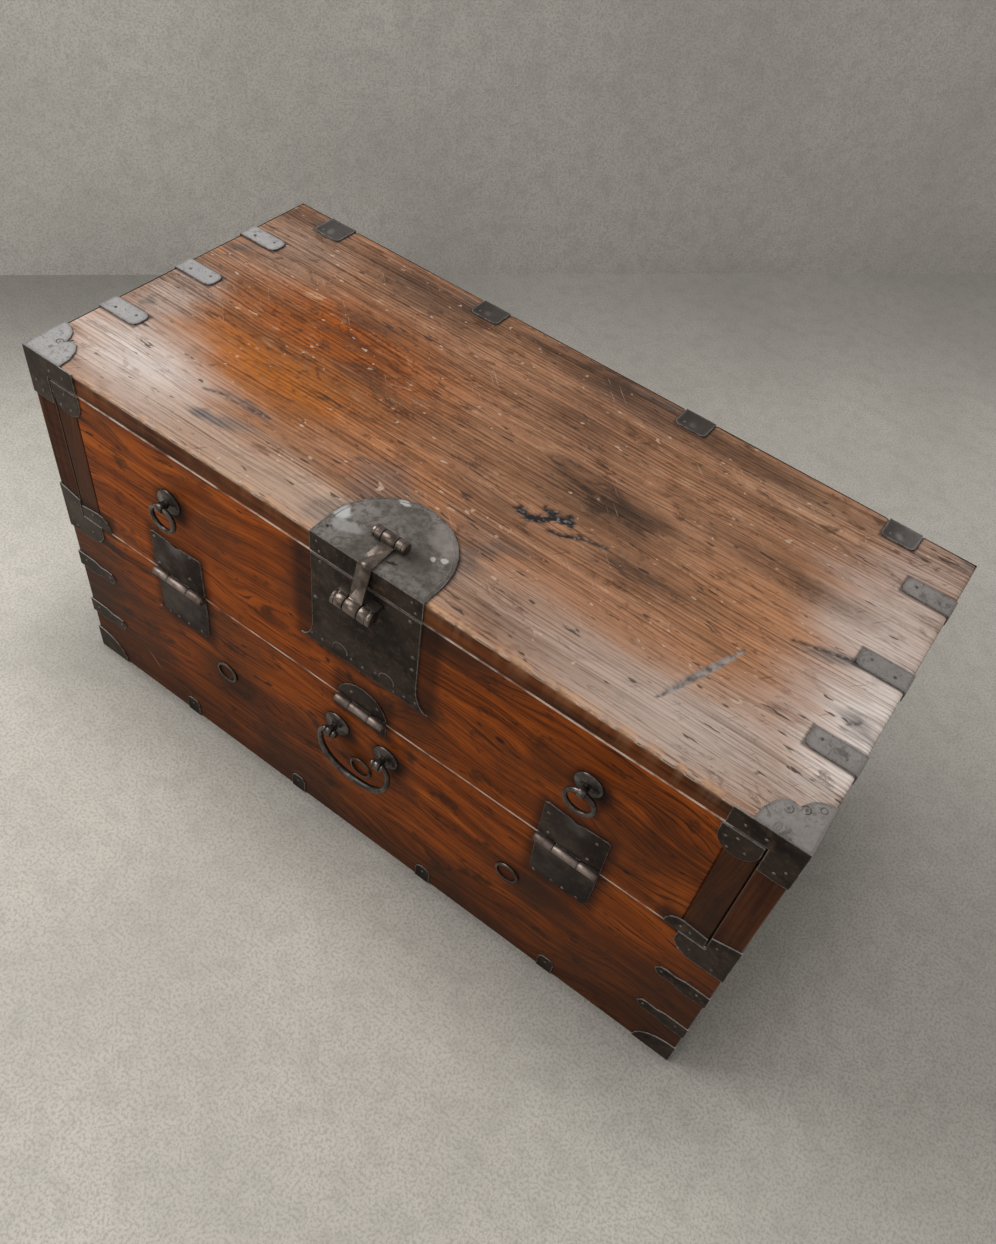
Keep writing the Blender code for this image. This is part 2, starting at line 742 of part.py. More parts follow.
# Three iron rings nailed on the lower front, for the open flap's fittings to come down on
def make_stop_rings():
    chamfer = stop_ring_width / 3
    hole_radius = stop_ring_radius - stop_ring_width
    profile = [
        (stop_ring_radius, 0),
        (stop_ring_radius, stop_ring_thickness - chamfer),
        (stop_ring_radius - chamfer, stop_ring_thickness),
    ]
    hole_profile = [(hole_radius, -stop_ring_thickness), (hole_radius, 2 * stop_ring_thickness)]
    for place, name in ((-1, "left"), (0, "centre"), (1, "right")):
        centre = Vector((place * stop_ring_offset, plate_back, stop_ring_height))
        ring = cut(turned(profile, centre), turned(hole_profile, centre))
        finish(ring, "stop_ring_" + name, forged_iron, case_pivot, centre)


# Corner irons and straps
def side_leg(side, low_y, high_y, low_z, high_z):
    """The part of an iron that turns round the edge and lies on the outside of the case's side."""
    return side_box(side, (half_width + seat_gap, low_y, low_z), (trim_edge, high_y, high_z))


def make_top_corner(side, name):
    """A lobed leaf on the top, a bracket in front and a leg on the side, all one iron."""
    leaf_size = (-top_corner_reach - trim_skin, top_corner_side_reach + trim_skin)
    corner = (trim_edge, trim_front)
    leaf_outline = [corner] + from_shares(top_corner_shares, corner, leaf_size)
    leaf = prism(mirrored(leaf_outline, side), on_top, case_height + seat_gap, trim_top, iron_round)
    head = trim_top - iron_round
    foot = case_height - top_corner_drop
    inner = half_width - top_corner_front_width
    post_inner = opening_half_width + rim_setback
    strip_foot = top_underside + rim_setback
    bracket = [
        (trim_edge, head),
        (inner, head),
        (inner, strip_foot),
        (post_inner, strip_foot),
        (post_inner, foot + trim_thickness),
        ((post_inner + half_width) / 2, foot),
        (trim_edge, foot + trim_thickness),
    ]
    front = prism(mirrored(bracket, side), on_front, -plate_back, -trim_front)
    leg = side_leg(side, trim_front, front_face + side_leg_length, case_height - side_leg_drop, head)
    join(leaf, front, leg)
    finish(leaf, name, sheet_iron, case_pivot, Vector((side * half_width, front_face, case_height)))


def make_flap_corner(side, name):
    """A tongue-shaped iron on the flap's upper corner."""
    top = flap_top - rim_setback
    outer = flap_half_width - rim_setback
    radius = flap_corner_width / 2
    round_v = top - flap_corner_drop + radius
    outline = [(outer, top), (outer - flap_corner_width, top)]
    outline += arc(outer - radius, round_v, radius, 2 * quarter, 4 * quarter, 2 * arc_steps)
    plate = prism(mirrored(outline, side), on_front, -plate_back, -trim_front, iron_round)
    finish(plate, name, sheet_iron, flap_pivot)


def make_flap_foot(side, name):
    """A low iron on the flap's lower corner, with its inner shoulder rounded."""
    foot = (flap_half_width - rim_setback, flap_bottom + rim_setback)
    outline = [foot] + from_shares(flap_foot_shares, foot, (-flap_foot_width, flap_foot_rise))
    plate = prism(mirrored(outline, side), on_front, -plate_back, -trim_front, iron_round)
    finish(plate, name, sheet_iron, flap_pivot)


def make_wrapped_iron(outline, side, leg_low, leg_high, name):
    """A front plate with a leg that turns back round the corner onto the case's side."""
    plate = prism(mirrored(outline, side), on_front, -plate_back, -trim_front)
    join(plate, side_leg(side, trim_front, front_face + side_leg_length, leg_low, leg_high))
    finish(plate, name, sheet_iron, case_pivot, Vector((side * half_width, front_face, leg_low)))


def make_mid_corner(side, name):
    """The iron that ties the post to the lower front board across the fold line."""
    low = fold_height - mid_corner_drop
    high = fold_height + mid_corner_rise
    shelf = lower_front_top - rim_setback
    post_inner = opening_half_width + rim_setback
    slope_foot = high - mid_corner_slope
    outline = [(trim_edge, low), (trim_edge, high), (post_inner, slope_foot), (post_inner, shelf)]
    outline += [(half_width - mid_corner_width, shelf)]
    outline += from_shares(mid_corner_inner_shares, (half_width, low), (-mid_corner_width, shelf - low))
    make_wrapped_iron(outline, side, low, high, name)


def make_front_strap(side, name, height):
    """A short strap round the lower front corner, with a waist and a pointed nose."""
    half = front_strap_height / 2
    size = (-front_strap_length, half)
    upper_edge = from_shares(front_strap_shares, (half_width, height), size)
    lower_edge = [(u, 2 * height - v) for u, v in reversed(upper_edge[1:-1])]
    outline = [(trim_edge, height - half), (trim_edge, height + half)] + upper_edge[1:] + lower_edge
    make_wrapped_iron(outline, side, height - half, height + half, name)


def make_bottom_corner(side, name):
    quarter_round = arc(0, 0, 1, quarter, 0, arc_steps)
    size = (-bottom_corner_width, bottom_corner_rise)
    outline = [(trim_edge, rim_setback), (trim_edge, rim_setback + bottom_corner_rise)]
    outline += from_shares(quarter_round, (half_width, rim_setback), size)
    make_wrapped_iron(outline, side, rim_setback, rim_setback + bottom_corner_rise, name)


def make_side_strap(side, share, name):
    """A round-nosed strap on the top, whose leg turns down over the end of the top board."""
    middle = front_face + share * case_depth
    half = side_strap_width / 2
    nose_corner = (half_width - side_strap_length, half - side_strap_nose)
    nose = from_shares(nose_shares, nose_corner, (side_strap_nose, side_strap_nose))
    outline = [(trim_edge, middle - half), (trim_edge, middle + half)]
    outline += [(u, middle + v) for u, v in nose]
    outline += [(u, middle - v) for u, v in reversed(nose)]
    strap = prism(mirrored(outline, side), on_top, case_height + seat_gap, trim_top, iron_round)
    leg = side_leg(side, middle - half, middle + half, case_height - side_leg_drop, trim_top - iron_round)
    join(strap, leg)
    finish(strap, name, sheet_iron, case_pivot, Vector((side * half_width, middle, case_height)))


# Building the chest
make_case()
make_flap()
make_side_hinge("left", -side_hinge_offset)
make_centre_hinge()
make_side_hinge("right", side_hinge_offset)
make_top_plate()
make_top_barrel()
make_hasp()
make_flap_lock()
for ring_side, ring_suffix in side_names(""):
    make_pull_ring(ring_side, ring_suffix)
make_bail()
make_stop_rings()
for corner_side, corner_suffix in side_names(""):
    make_top_corner(corner_side, "top_corner" + corner_suffix)
    make_flap_corner(corner_side, "flap_corner" + corner_suffix)
    make_flap_foot(corner_side, "flap_foot" + corner_suffix)
    make_mid_corner(corner_side, "mid_corner" + corner_suffix)
    make_front_strap(corner_side, "front_strap_upper" + corner_suffix, upper_strap_height)
    make_front_strap(corner_side, "front_strap_lower" + corner_suffix, lower_strap_height)
    make_bottom_corner(corner_side, "bottom_corner" + corner_suffix)
for strap_index, strap_place in enumerate(("front", "middle", "rear")):
    make_side_strap(-1, left_strap_shares[strap_index], "side_strap_" + strap_place + "_left")
    make_side_strap(1, right_strap_shares[strap_index], "side_strap_" + strap_place + "_right")
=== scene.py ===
# %% [markdown]
# # An old Korean chest with a folding front
#
# This lesson dresses a low hardwood chest whose upper front folds down. The boards, the irons and every
# joint are already there as plain solids. Here they get the worn timber, the rubbed iron and the small
# fittings that make the chest look two hundred years old, and then a camera and a soft light like those of
# the photograph.

# %% Load the plain model
import json
import math
import random

import bpy
from mathutils import Matrix, Vector, noise


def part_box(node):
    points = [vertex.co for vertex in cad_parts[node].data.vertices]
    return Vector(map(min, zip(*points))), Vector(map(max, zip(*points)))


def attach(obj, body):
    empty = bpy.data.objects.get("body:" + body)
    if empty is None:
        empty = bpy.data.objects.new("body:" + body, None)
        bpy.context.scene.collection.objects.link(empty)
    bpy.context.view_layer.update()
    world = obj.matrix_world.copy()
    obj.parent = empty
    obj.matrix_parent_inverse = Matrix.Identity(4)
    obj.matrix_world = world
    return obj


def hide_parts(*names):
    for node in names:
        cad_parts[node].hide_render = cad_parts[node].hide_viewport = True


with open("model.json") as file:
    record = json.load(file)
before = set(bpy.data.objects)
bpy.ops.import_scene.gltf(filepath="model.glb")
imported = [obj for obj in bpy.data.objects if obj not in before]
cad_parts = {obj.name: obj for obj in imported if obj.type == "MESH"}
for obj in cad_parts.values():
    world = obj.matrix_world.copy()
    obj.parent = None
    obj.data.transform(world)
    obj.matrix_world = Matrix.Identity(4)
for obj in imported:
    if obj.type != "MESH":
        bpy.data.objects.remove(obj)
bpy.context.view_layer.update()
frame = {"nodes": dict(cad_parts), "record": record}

# %% [markdown]
# ## Measuring before making
#
# A maker lays every fitting out from the edges of the board that carries it. We do the same: the places of
# the new pieces are read from the boxes of the plain pieces, so nothing has to be guessed twice. The front
# of the chest faces -Y, X runs to the right and Z goes up, all in metres.

# %% Read the main places
board_low, board_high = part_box("top_board")
flap_low, flap_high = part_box("flap_panel")
top_plate_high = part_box("top_lock_plate")[1]

half_width = board_high[0]
front_face = board_low[1]
back_face = board_high[1]
top_face = board_high[2]
board_underside = board_low[2]
flap_top = flap_high[2]
fold_height = (flap_low[2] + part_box("lower_front_board")[1][2]) / 2
iron_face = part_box("lock_plate")[0][1]
# Four irons clasp the back edge: where each stands and how far it reaches forward
back_irons = [(-0.391, 0.036), (-0.153, 0.03), (0.129, 0.03), (0.38, 0.03)]
back_iron_half = 0.019
print(
    "case", 2 * half_width, "wide,", back_face - front_face, "deep,", top_face, "high; fold at", fold_height
)

# %% [markdown]
# ## A small tool box for surfaces
#
# A material in Blender is a little network: a pattern feeds a colour, a colour feeds the shader. The same
# few steps come back in every finish, so each gets a short helper. What a node gives out is wrapped as a
# `Value`, so that a pattern can be added, subtracted and multiplied like a number: every sign then adds one
# maths node.

# %% Helpers that build material networks
class Value:
    """What a node gives out."""

    def __init__(self, socket):
        self.socket = socket
        self.tree = socket.id_data

    def __add__(self, other):
        return maths("ADD", self, other)

    def __sub__(self, other):
        return maths("SUBTRACT", self, other)

    def __rsub__(self, other):
        return maths("SUBTRACT", other, self)

    def __mul__(self, other):
        return maths("MULTIPLY", self, other)


def feed(socket, value):
    if isinstance(value, Value):
        value.tree.links.new(value.socket, socket)
    elif isinstance(value, (tuple, list)) and len(value) == 3 and socket.type == "RGBA":
        socket.default_value = (*value, 1)
    else:
        socket.default_value = value


def feed_all(node, given):
    """Feed a node's sockets from a list in their order, or from a dictionary by name or number."""
    for key, value in given.items() if isinstance(given, dict) else enumerate(given):
        feed(node.inputs[key], value)


def add_node(tree, kind, given=(), output=0, **settings):
    """Add a node with its settings, feed its sockets and hand on one of its outputs."""
    node = tree.nodes.new(kind)
    for name, value in settings.items():
        setattr(node, name, value)
    feed_all(node, given)
    return Value(node.outputs[output])


def new_finish(name):
    """Start a material; hand on its shader and the place of each point on the piece."""
    material = bpy.data.materials.new(name)
    material.use_nodes = True
    tree = material.node_tree
    return material, tree.nodes["Principled BSDF"], add_node(tree, "ShaderNodeTexCoord", output="Object")


def maths(operation, *given):
    tree = next(value.tree for value in given if isinstance(value, Value))
    return add_node(tree, "ShaderNodeMath", given, operation=operation)


def vector_maths(operation, first, second=(0, 0, 0)):
    output = "Value" if operation in ("LENGTH", "DOT_PRODUCT") else "Vector"
    return add_node(first.tree, "ShaderNodeVectorMath", [first, second], output, operation=operation)


def spread(value, start, end, low=0.0, high=1.0):
    """Turn values between start and end smoothly into values between low and high."""
    given = [value, start, end, low, high]
    return add_node(value.tree, "ShaderNodeMapRange", given, interpolation_type="SMOOTHSTEP")


def blend(amount, below, above, how="MIX"):
    tree = next(value.tree for value in (amount, below, above) if isinstance(value, Value))
    given = {0: amount, 6: below, 7: above}
    return add_node(tree, "ShaderNodeMix", given, 2, data_type="RGBA", blend_type=how, clamp_factor=True)


def layered(colour, coats):
    """Lay coats over a colour, one after the other: the amount, the tint and how the two are blended."""
    for amount, tint, *how in coats:
        colour = blend(amount, colour, tint, *how)
    return colour


def scaled(values, factor):
    return tuple(value * factor for value in values)


def cloud(where, scale, detail=4.0, roughness=0.55, distortion=0.0, output="Fac"):
    given = {"Vector": where, "Scale": scale, "Detail": detail, "Roughness": roughness}
    given["Distortion"] = distortion
    return add_node(where.tree, "ShaderNodeTexNoise", given, output)


def stretched(where, scales, shift=(0, 0, 0), turn=0.0):
    given = {"Vector": where, "Location": shift, "Rotation": (0, 0, turn), "Scale": scales}
    return add_node(where.tree, "ShaderNodeMapping", given)


def streaky(where, scales, detail=4.0, roughness=0.55, distortion=0.0, shift=(0, 0, 0)):
    """A cloud that is drawn out along the axes with the small scales, as grain is."""
    return cloud(stretched(where, scales, shift), 1.0, detail, roughness, distortion)


def ring_wave(across, gap, wander, swing):
    """A sine across the grain, one wave to each year ring, whose phase wanders."""
    return maths("SINE", across * (2 * math.pi / gap) + wander * swing)


def patch(where, centre, reach, turn=0.0, axis="Z", soft=1.0):
    """One inside an oval patch, fading to nothing at its rim; soft is the share of the reach that fades."""
    rotation = (0, 0, turn) if axis == "Z" else (0, turn, 0)
    given = {"Vector": where, "Location": centre, "Rotation": rotation, "Scale": reach}
    placed = add_node(where.tree, "ShaderNodeMapping", given, vector_type="TEXTURE")
    return spread(vector_maths("LENGTH", placed), 1.0, 1.0 - soft)


def top_patch(where, place, reach, turn=0.0, soft=1.0):
    return patch(where, (*place, top_face), (*reach, 1), turn, "Z", soft)


def front_patch(where, place, reach, turn=0.0, soft=1.0):
    return patch(where, (place[0], front_face, place[1]), (reach[0], 1, reach[1]), turn, "Y", soft)


def halo(where, low, high, reach, seen=(1, 0, 1)):
    """One inside a box, fading to nothing over reach around it, seen from the front or the top."""
    middle = [(a + b) / 2 for a, b in zip(low, high)]
    half = [(b - a) / 2 for a, b in zip(low, high)]
    away = vector_maths("ABSOLUTE", vector_maths("SUBTRACT", where, middle))
    outside = vector_maths("MAXIMUM", vector_maths("SUBTRACT", away, half))
    return spread(vector_maths("LENGTH", vector_maths("MULTIPLY", outside, seen)), reach, 0.0)


def strongest(values):
    result = values[0]
    for value in values[1:]:
        result = maths("MAXIMUM", result, value)
    return result


def parts_of(where):
    node = where.tree.nodes.new("ShaderNodeSeparateXYZ")
    feed(node.inputs[0], where)
    return [Value(output) for output in node.outputs]


def joined_parts(x, y, z):
    return add_node(x.tree, "ShaderNodeCombineXYZ", [x, y, z])


def painted(where, name):
    """The amount that the modelling wrote into an attribute of the mesh."""
    return add_node(where.tree, "ShaderNodeAttribute", output="Fac", attribute_name=name)


def raise_surface(shader, height, distance, strength=1.0, under=None):
    given = {"Strength": strength, "Distance": distance, "Height": height}
    if under:
        given["Normal"] = under
    bump = add_node(shader.id_data, "ShaderNodeBump", given)
    feed(shader.inputs["Normal"], bump)
    return bump


def edge_wear(where, radius, low=0.02, high=0.20):
    """How much an edge is rubbed, from the difference between the true and a rounded normal."""
    rounded = add_node(where.tree, "ShaderNodeBevel", {"Radius": radius}, samples=4)
    true = add_node(where.tree, "ShaderNodeNewGeometry", output="Normal")
    return spread(1.0 - vector_maths("DOT_PRODUCT", rounded, true), low, high)


print("material helpers ready")

# %% [markdown]
# ## Old top board: weathered, striped and glossy
#
# The top has been wiped and leaned on for generations. The soft spring wood has worn away, so the hard
# rings stand up as fine ridges along the board, the middle left still holds its orange oil polish, and the
# ends and front are rubbed pale and dusty under a painted grey sheen of reflected light. We build it in
# layers: stripes from noise stretched hard along X, broad colour patches placed one by one, then dark
# stains, painted gap shadows round the irons, nicks and pale scratches. Because all of it reads Object
# coordinates in metres, each patch can be put exactly where it is on the real board.

# %% Finish of the top board
top_ring_gap = 0.0054
gap_shade_reach = 0.0035


def make_top_wood():
    material, shader, where = new_finish("old_top_wood")
    bend = (streaky(where, (1.5, 4.0, 1), 2.0) - 0.5) * 0.04
    wobble = (streaky(where, (8, 22, 1), 2.0) - 0.5) * 0.0045
    x, y, z = parts_of(where)
    # The rings swing round an old branch scar right of the middle
    swirl_centre = (0.11, -0.035, 0.5)
    swirl = patch(where, swirl_centre, (0.2, 0.05, 1), 0.1)
    swing = swirl * (y - swirl_centre[1]) * -0.45
    across = y + bend + (wobble + swing)
    grain = joined_parts(x, across, z)

    # Year rings about five millimetres apart: a sine whose phase and strength wander
    wander = streaky(grain, (1.4, 34, 2), 2.0)
    sine = ring_wave(across, top_ring_gap, wander, 14.0) * 0.5 + 0.5
    streaks = streaky(grain, (2.2, 250, 3), 2.0, 0.5)
    rings = sine * 0.42 + streaks * 0.58
    fine = streaky(grain, (7, 720, 5), 3.0, 0.6)
    pores = streaky(grain, (26, 900, 9), 2.0, 0.5)
    broad = streaky(grain, (1.3, 30, 2), 3.0, 0.55)
    lines = spread(rings, 0.42, 0.7)
    # The dark late wood is narrow, and each line fades and comes back along the board
    fading = streaky(grain, (3.2, 70, 3), 3.0, 0.6, shift=(5, 0, 0))
    late_wood = spread(sine, 0.44, 0.08) * spread(fading, 0.36, 0.62, 0.12, 1.0)
    dark_lines = maths("MAXIMUM", late_wood * 0.85, spread(streaks, 0.42, 0.24))
    fine_dark = spread(fine, 0.5, 0.33)
    pore_dark = spread(pores, 0.4, 0.28)

    ragged = cloud(stretched(grain, (9, 34, 9)), 1.0, 4.0, 0.5, output="Color")
    shift = vector_maths("MULTIPLY", vector_maths("SUBTRACT", ragged, (0.5, 0.5, 0.5)), (0.09, 0.05, 0))
    torn = vector_maths("ADD", where, shift)

    colour = (0.345, 0.178, 0.102)
    # The orange polish and the browns are the wood's own colour; the pale grey patches over the left corner,
    # along the front and over the right end are a painted sheen of reflected light on rubbed wood
    zones = [
        ((-0.24, -0.01), (0.26, 0.16), 0.0, (0.36, 0.125, 0.03), 0.75),
        ((-0.245, 0.03), (0.22, 0.1), 0.05, (0.3, 0.068, 0.002), 0.9),
        ((-0.25, -0.06), (0.19, 0.062), -0.05, (0.43, 0.122, 0.006), 0.85),
        ((-0.06, -0.08), (0.14, 0.055), 0.0, (0.44, 0.195, 0.09), 0.85),
        ((-0.36, -0.15), (0.18, 0.09), -0.25, (0.54, 0.48, 0.45), 1.0),
        ((-0.43, -0.04), (0.07, 0.11), 0.0, (0.39, 0.32, 0.285), 0.9),
        ((-0.13, -0.18), (0.36, 0.055), 0.0, (0.42, 0.315, 0.25), 0.9),
        ((0.18, -0.165), (0.2, 0.065), 0.0, (0.35, 0.255, 0.205), 0.95),
        ((0.33, -0.165), (0.2, 0.085), 0.1, (0.44, 0.36, 0.315), 1.0),
        ((0.435, 0.04), (0.14, 0.29), 0.0, (0.525, 0.43, 0.385), 1.0),
        ((0.445, -0.08), (0.06, 0.15), 0.0, (0.69, 0.64, 0.61), 0.9),
        ((0.3, -0.02), (0.1, 0.13), 0.0, (0.45, 0.22, 0.112), 0.85),
        ((0.3, 0.165), (0.09, 0.055), 0.0, (0.48, 0.29, 0.185), 0.8),
        ((-0.4, 0.13), (0.12, 0.11), 0.0, (0.28, 0.19, 0.145), 0.9),
        ((-0.22, 0.155), (0.13, 0.055), 0.0, (0.22, 0.125, 0.08), 0.8),
        ((0.06, 0.175), (0.12, 0.04), 0.0, (0.19, 0.115, 0.082), 0.7)
    ]
    for place, reach, turn, tint, strength in zones:
        colour = blend(top_patch(torn, place, reach, turn, 0.9) * strength, colour, tint)

    # Dark clouds where polish and dirt have gathered
    clouds = [
        ((0.114, 0.016), (0.11, 0.06), 0.95), ((0.2, -0.04), (0.12, 0.035), 0.6),
        ((-0.215, 0.175), (0.16, 0.045), 0.65), ((0.0, 0.19), (0.22, 0.035), 0.7),
        ((0.316, 0.056), (0.15, 0.026), 0.62), ((-0.235, 0.075), (0.075, 0.028), 0.55),
        ((0.19, 0.18), (0.16, 0.045), 0.6), ((0.04, 0.1), (0.1, 0.06), 0.45),
        ((-0.18, 0.0), (0.09, 0.022), 0.5), ((0.03, -0.06), (0.1, 0.03), 0.4),
        ((0.3, -0.075), (0.08, 0.016), 0.3), ((-0.44, 0.19), (0.06, 0.05), 0.5)
    ]
    shade = [top_patch(torn, place, reach, soft=0.95) * strength for place, reach, strength in clouds]
    smudge = streaky(torn, (16, 34, 16), 5.0, 0.68)
    cloudy = strongest(shade) * spread(smudge, 0.34, 0.6, 0.35, 1.35)
    # Where the board is rubbed and carries the painted sheen: grime, stripes and grain show less there, and
    # it is a little rougher
    rubbed_and_sheen = strongest([
        top_patch(torn, (-0.33, -0.14), (0.26, 0.14), -0.2, soft=0.9),
        top_patch(torn, (-0.1, -0.19), (0.36, 0.07), soft=0.9),
        top_patch(torn, (0.28, -0.15), (0.3, 0.12), soft=0.9),
        top_patch(torn, (0.4, 0.0), (0.15, 0.25), soft=0.9)
    ])
    calm = rubbed_and_sheen * -0.38 + 0.54
    grime = streaky(torn, (34, 90, 20), 6.0, 0.74)
    colour = layered(colour, [
        (spread(grime, 0.54, 0.68) * calm, (0.52, 0.34, 0.22)),
        (spread(grime, 0.47, 0.32) * calm, (0.06, 0.03, 0.017)),
        (spread(grime, 0.47, 0.32) * calm, (0.06, 0.03, 0.017)),
        (spread(broad, 0.66, 0.3) * calm, (0.105, 0.046, 0.018)),
        (spread(smudge, 0.48, 0.32) * calm, (0.085, 0.04, 0.02)),
        (cloudy, (0.062, 0.036, 0.024)),
    ])

    # Swirling dark strokes in the orange polish
    strokes = streaky(torn, (26, 60, 20), 4.0, 0.62, 2.2)
    polished = top_patch(torn, (-0.24, 0.01), (0.26, 0.14), soft=0.7)
    strokes = spread(strokes, 0.54, 0.64) * polished
    colour = blend(strokes * 0.62, colour, (0.085, 0.024, 0.006))

    # Blue-black iron stain beside the lock plate, the end irons and along the worn left front
    stains = [
        ((-0.06, -0.112), (0.055, 0.05), 0.6, 0.65), ((0.068, -0.13), (0.03, 0.07), -0.5, 0.7),
        ((0.045, -0.105), (0.05, 0.035), -0.6, 0.4), ((-0.232, -0.1545), (0.048, 0.013), 0.22, 0.9),
        ((-0.247, -0.157), (0.024, 0.014), 0.1, 1.0), ((-0.438, -0.06), (0.01, 0.026), 0.0, 0.6),
        ((-0.446, 0.078), (0.014, 0.04), 0.0, 0.7), ((0.447, 0.2), (0.022, 0.02), 0.0, 0.75),
        ((0.385, -0.005), (0.075, 0.012), 0.25, 0.75), ((0.437, -0.065), (0.024, 0.028), 0.0, 0.65),
        ((0.435, -0.1), (0.028, 0.012), 0.1, 0.6), ((-0.07, -0.175), (0.03, 0.03), 0.2, 0.55),
        ((-0.395, 0.19), (0.04, 0.014), 0.0, 0.6), ((-0.16, 0.196), (0.05, 0.01), 0.0, 0.6),
        ((0.075, 0.195), (0.06, 0.01), 0.0, 0.6), ((-0.235, -0.122), (0.055, 0.01), 0.1, 0.7)
    ]
    stained = strongest([
        top_patch(torn, place, reach, turn, 0.8) * strength for place, reach, turn, strength in stains
    ])
    colour = blend(stained * spread(rings, 0.2, 0.6, 1.0, 0.65), colour, (0.075, 0.078, 0.086))

    # Painted gap shadow, with some soot, in a narrow dark band round each iron that lies on the board
    iron_gap_shade = [
        halo(where, *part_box(name), gap_shade_reach, (1, 1, 0))
        for name in frame["nodes"] if name.startswith("side_strap")
    ]
    for middle, length in back_irons:
        low = (middle - back_iron_half, back_face - length, top_face)
        high = (middle + back_iron_half, back_face, top_face)
        iron_gap_shade.append(halo(where, low, high, gap_shade_reach, (1, 1, 0)))
    plate_reach = top_plate_high[0]
    around_plate = plate_reach + 0.005
    iron_gap_shade.append(
        top_patch(where, (0, top_plate_high[1] - plate_reach), (around_plate, around_plate), soft=0.1)
    )
    colour = blend(strongest(iron_gap_shade) * 0.7, colour, (0.035, 0.03, 0.03))

    # The stripes themselves, darker in the hollows and paler where the board is rubbed and carries the
    # painted sheen, then dark knocks strewn along the grain, pale specks and a few long scratches
    fine_depth = rubbed_and_sheen * -0.34 + 0.74
    knocks = streaky(grain, (38, 170, 9), 2.0, 0.5)
    specks = streaky(where, (95, 160, 90), 1.0, 0.4, shift=(3, 5, 0))
    somewhere = spread(smudge, 0.5, 0.62)
    turned = stretched(where, (1, 1, 1), turn=0.75)
    scratches = spread(streaky(turned, (14, 420, 20), 1.0, 0.4), 0.675, 0.72) * somewhere
    turned = stretched(where, (1, 1, 1), (3, 1, 0), -0.9)
    cuts = spread(streaky(turned, (22, 380, 20), 1.0, 0.4), 0.68, 0.72) * somewhere
    colour = layered(colour, [
        (lines * (rubbed_and_sheen * -0.06 + 0.16), (0.62, 0.47, 0.37), "SOFT_LIGHT"),
        (dark_lines * (rubbed_and_sheen * -0.34 + 0.64), (0.3, 0.19, 0.13), "MULTIPLY"),
        (fine_dark * fine_depth, (0.32, 0.22, 0.17), "MULTIPLY"),
        (pore_dark * fine_depth, (0.045, 0.035, 0.03)),
        (spread(knocks, 0.67, 0.72) * 0.8, (0.035, 0.026, 0.022)),
        (spread(specks, 0.735, 0.775) * 0.6, (0.5, 0.38, 0.29)),
        (scratches * 0.28, (0.5, 0.37, 0.28)),
        (cuts * 0.45, (0.05, 0.03, 0.02)),
    ])

    # The gouges are painted near black with painted blue-grey highlights, the scar grey, and the front strip
    # under the rim is still red-brown
    gouge_highlights = spread(cloud(where, 210.0, 3.0), 0.54, 0.68)
    scar_grain = spread(streaky(where, (90, 90, 9), 4.0), 0.36, 0.62)
    colour = layered(colour, [
        (painted(where, "relief"), blend(gouge_highlights, (0.018, 0.016, 0.017), (0.15, 0.155, 0.17))),
        (painted(where, "scar"), blend(scar_grain, (0.085, 0.075, 0.072), (0.27, 0.24, 0.225))),
    ])
    below = spread(z, top_face - 0.0021, top_face - 0.0046)
    strip_cloud = streaky(where, (6, 10, 90), 3.0)
    strip = blend(spread(strip_cloud, 0.35, 0.65), (0.026, 0.008, 0.003), (0.115, 0.03, 0.006))
    dull_side = blend(dark_lines, (0.085, 0.045, 0.026), (0.032, 0.018, 0.012))
    strip = blend(spread(y, front_face + 0.003, front_face + 0.006), strip, dull_side)
    rim = spread(y, front_face + 0.0035, front_face + 0.0008)
    rim = rim * spread(z, top_face - 0.0045, top_face - 0.0015)
    rim_rough = spread(streaky(where, (60, 90, 90), 3.0), 0.35, 0.65)
    colour = layered(colour, [
        (below, strip),
        (rim * (rim_rough * 0.5 + 0.3), (0.46, 0.33, 0.25)),
        (painted(where, "chipped"), (0.46, 0.27, 0.16)),
    ])

    gloss = spread(broad, 0.3, 0.7, 0.36, 0.5) + rubbed_and_sheen * 0.1 + dark_lines * 0.16
    feed_all(shader, {
        "Base Color": colour, "Roughness": gloss, "IOR": 1.2, "Specular Tint": (1.0, 0.8, 0.66)
    })
    ridges = fine * 0.35 + rings - pore_dark * 0.25
    first = raise_surface(shader, ridges * (rubbed_and_sheen * -0.5 + 1.0), 0.0016, 0.75)
    raise_surface(shader, cloud(where, 60.0, 3.0), 0.0009, 0.35, under=first)
    return material


top_wood = make_top_wood()
print("top board finish has", len(top_wood.node_tree.nodes), "nodes")

# %% [markdown]
# ## Red-brown front
#
# The front is sheltered, so it kept its deep red-brown oil finish with dark flame-like grain. Soot, iron
# rust and painted shade darken the wood round every fitting, painted shade makes the bottom edge nearly
# black, and broad patches of painted sheen and shade lie over the boards. The grain of the panel and the
# lower board runs sideways and that of the two end battens upwards, so one recipe takes the direction of
# the grain.

# %% Finish of the front boards
soot_and_shade_reach = 0.016
front_ring_gap = 0.0068


def soot_and_shade_round_irons(where):
    """Soot and painted shade in the wood round the fittings on the front."""
    values = []
    for name in frame["nodes"]:
        low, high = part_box(name)
        if name == "lock_plate" or name.startswith(("hinge_upper_leaf", "hinge_lower_leaf", "flap_foot")):
            values.append(halo(where, low, high, soot_and_shade_reach) * 0.75)
        elif name.startswith(("ring_rosette", "bail_rosette")):
            # Rings and handle hang down; round each rosette the dark patch lies a little to the right and
            # below
            x, y, z = [(a + b) / 2 for a, b in zip(low, high)]
            values.append(patch(where, (x + 0.004, y, z - 0.003), (0.034, 1, 0.034), axis="Y", soft=0.62))
    return strongest(values)


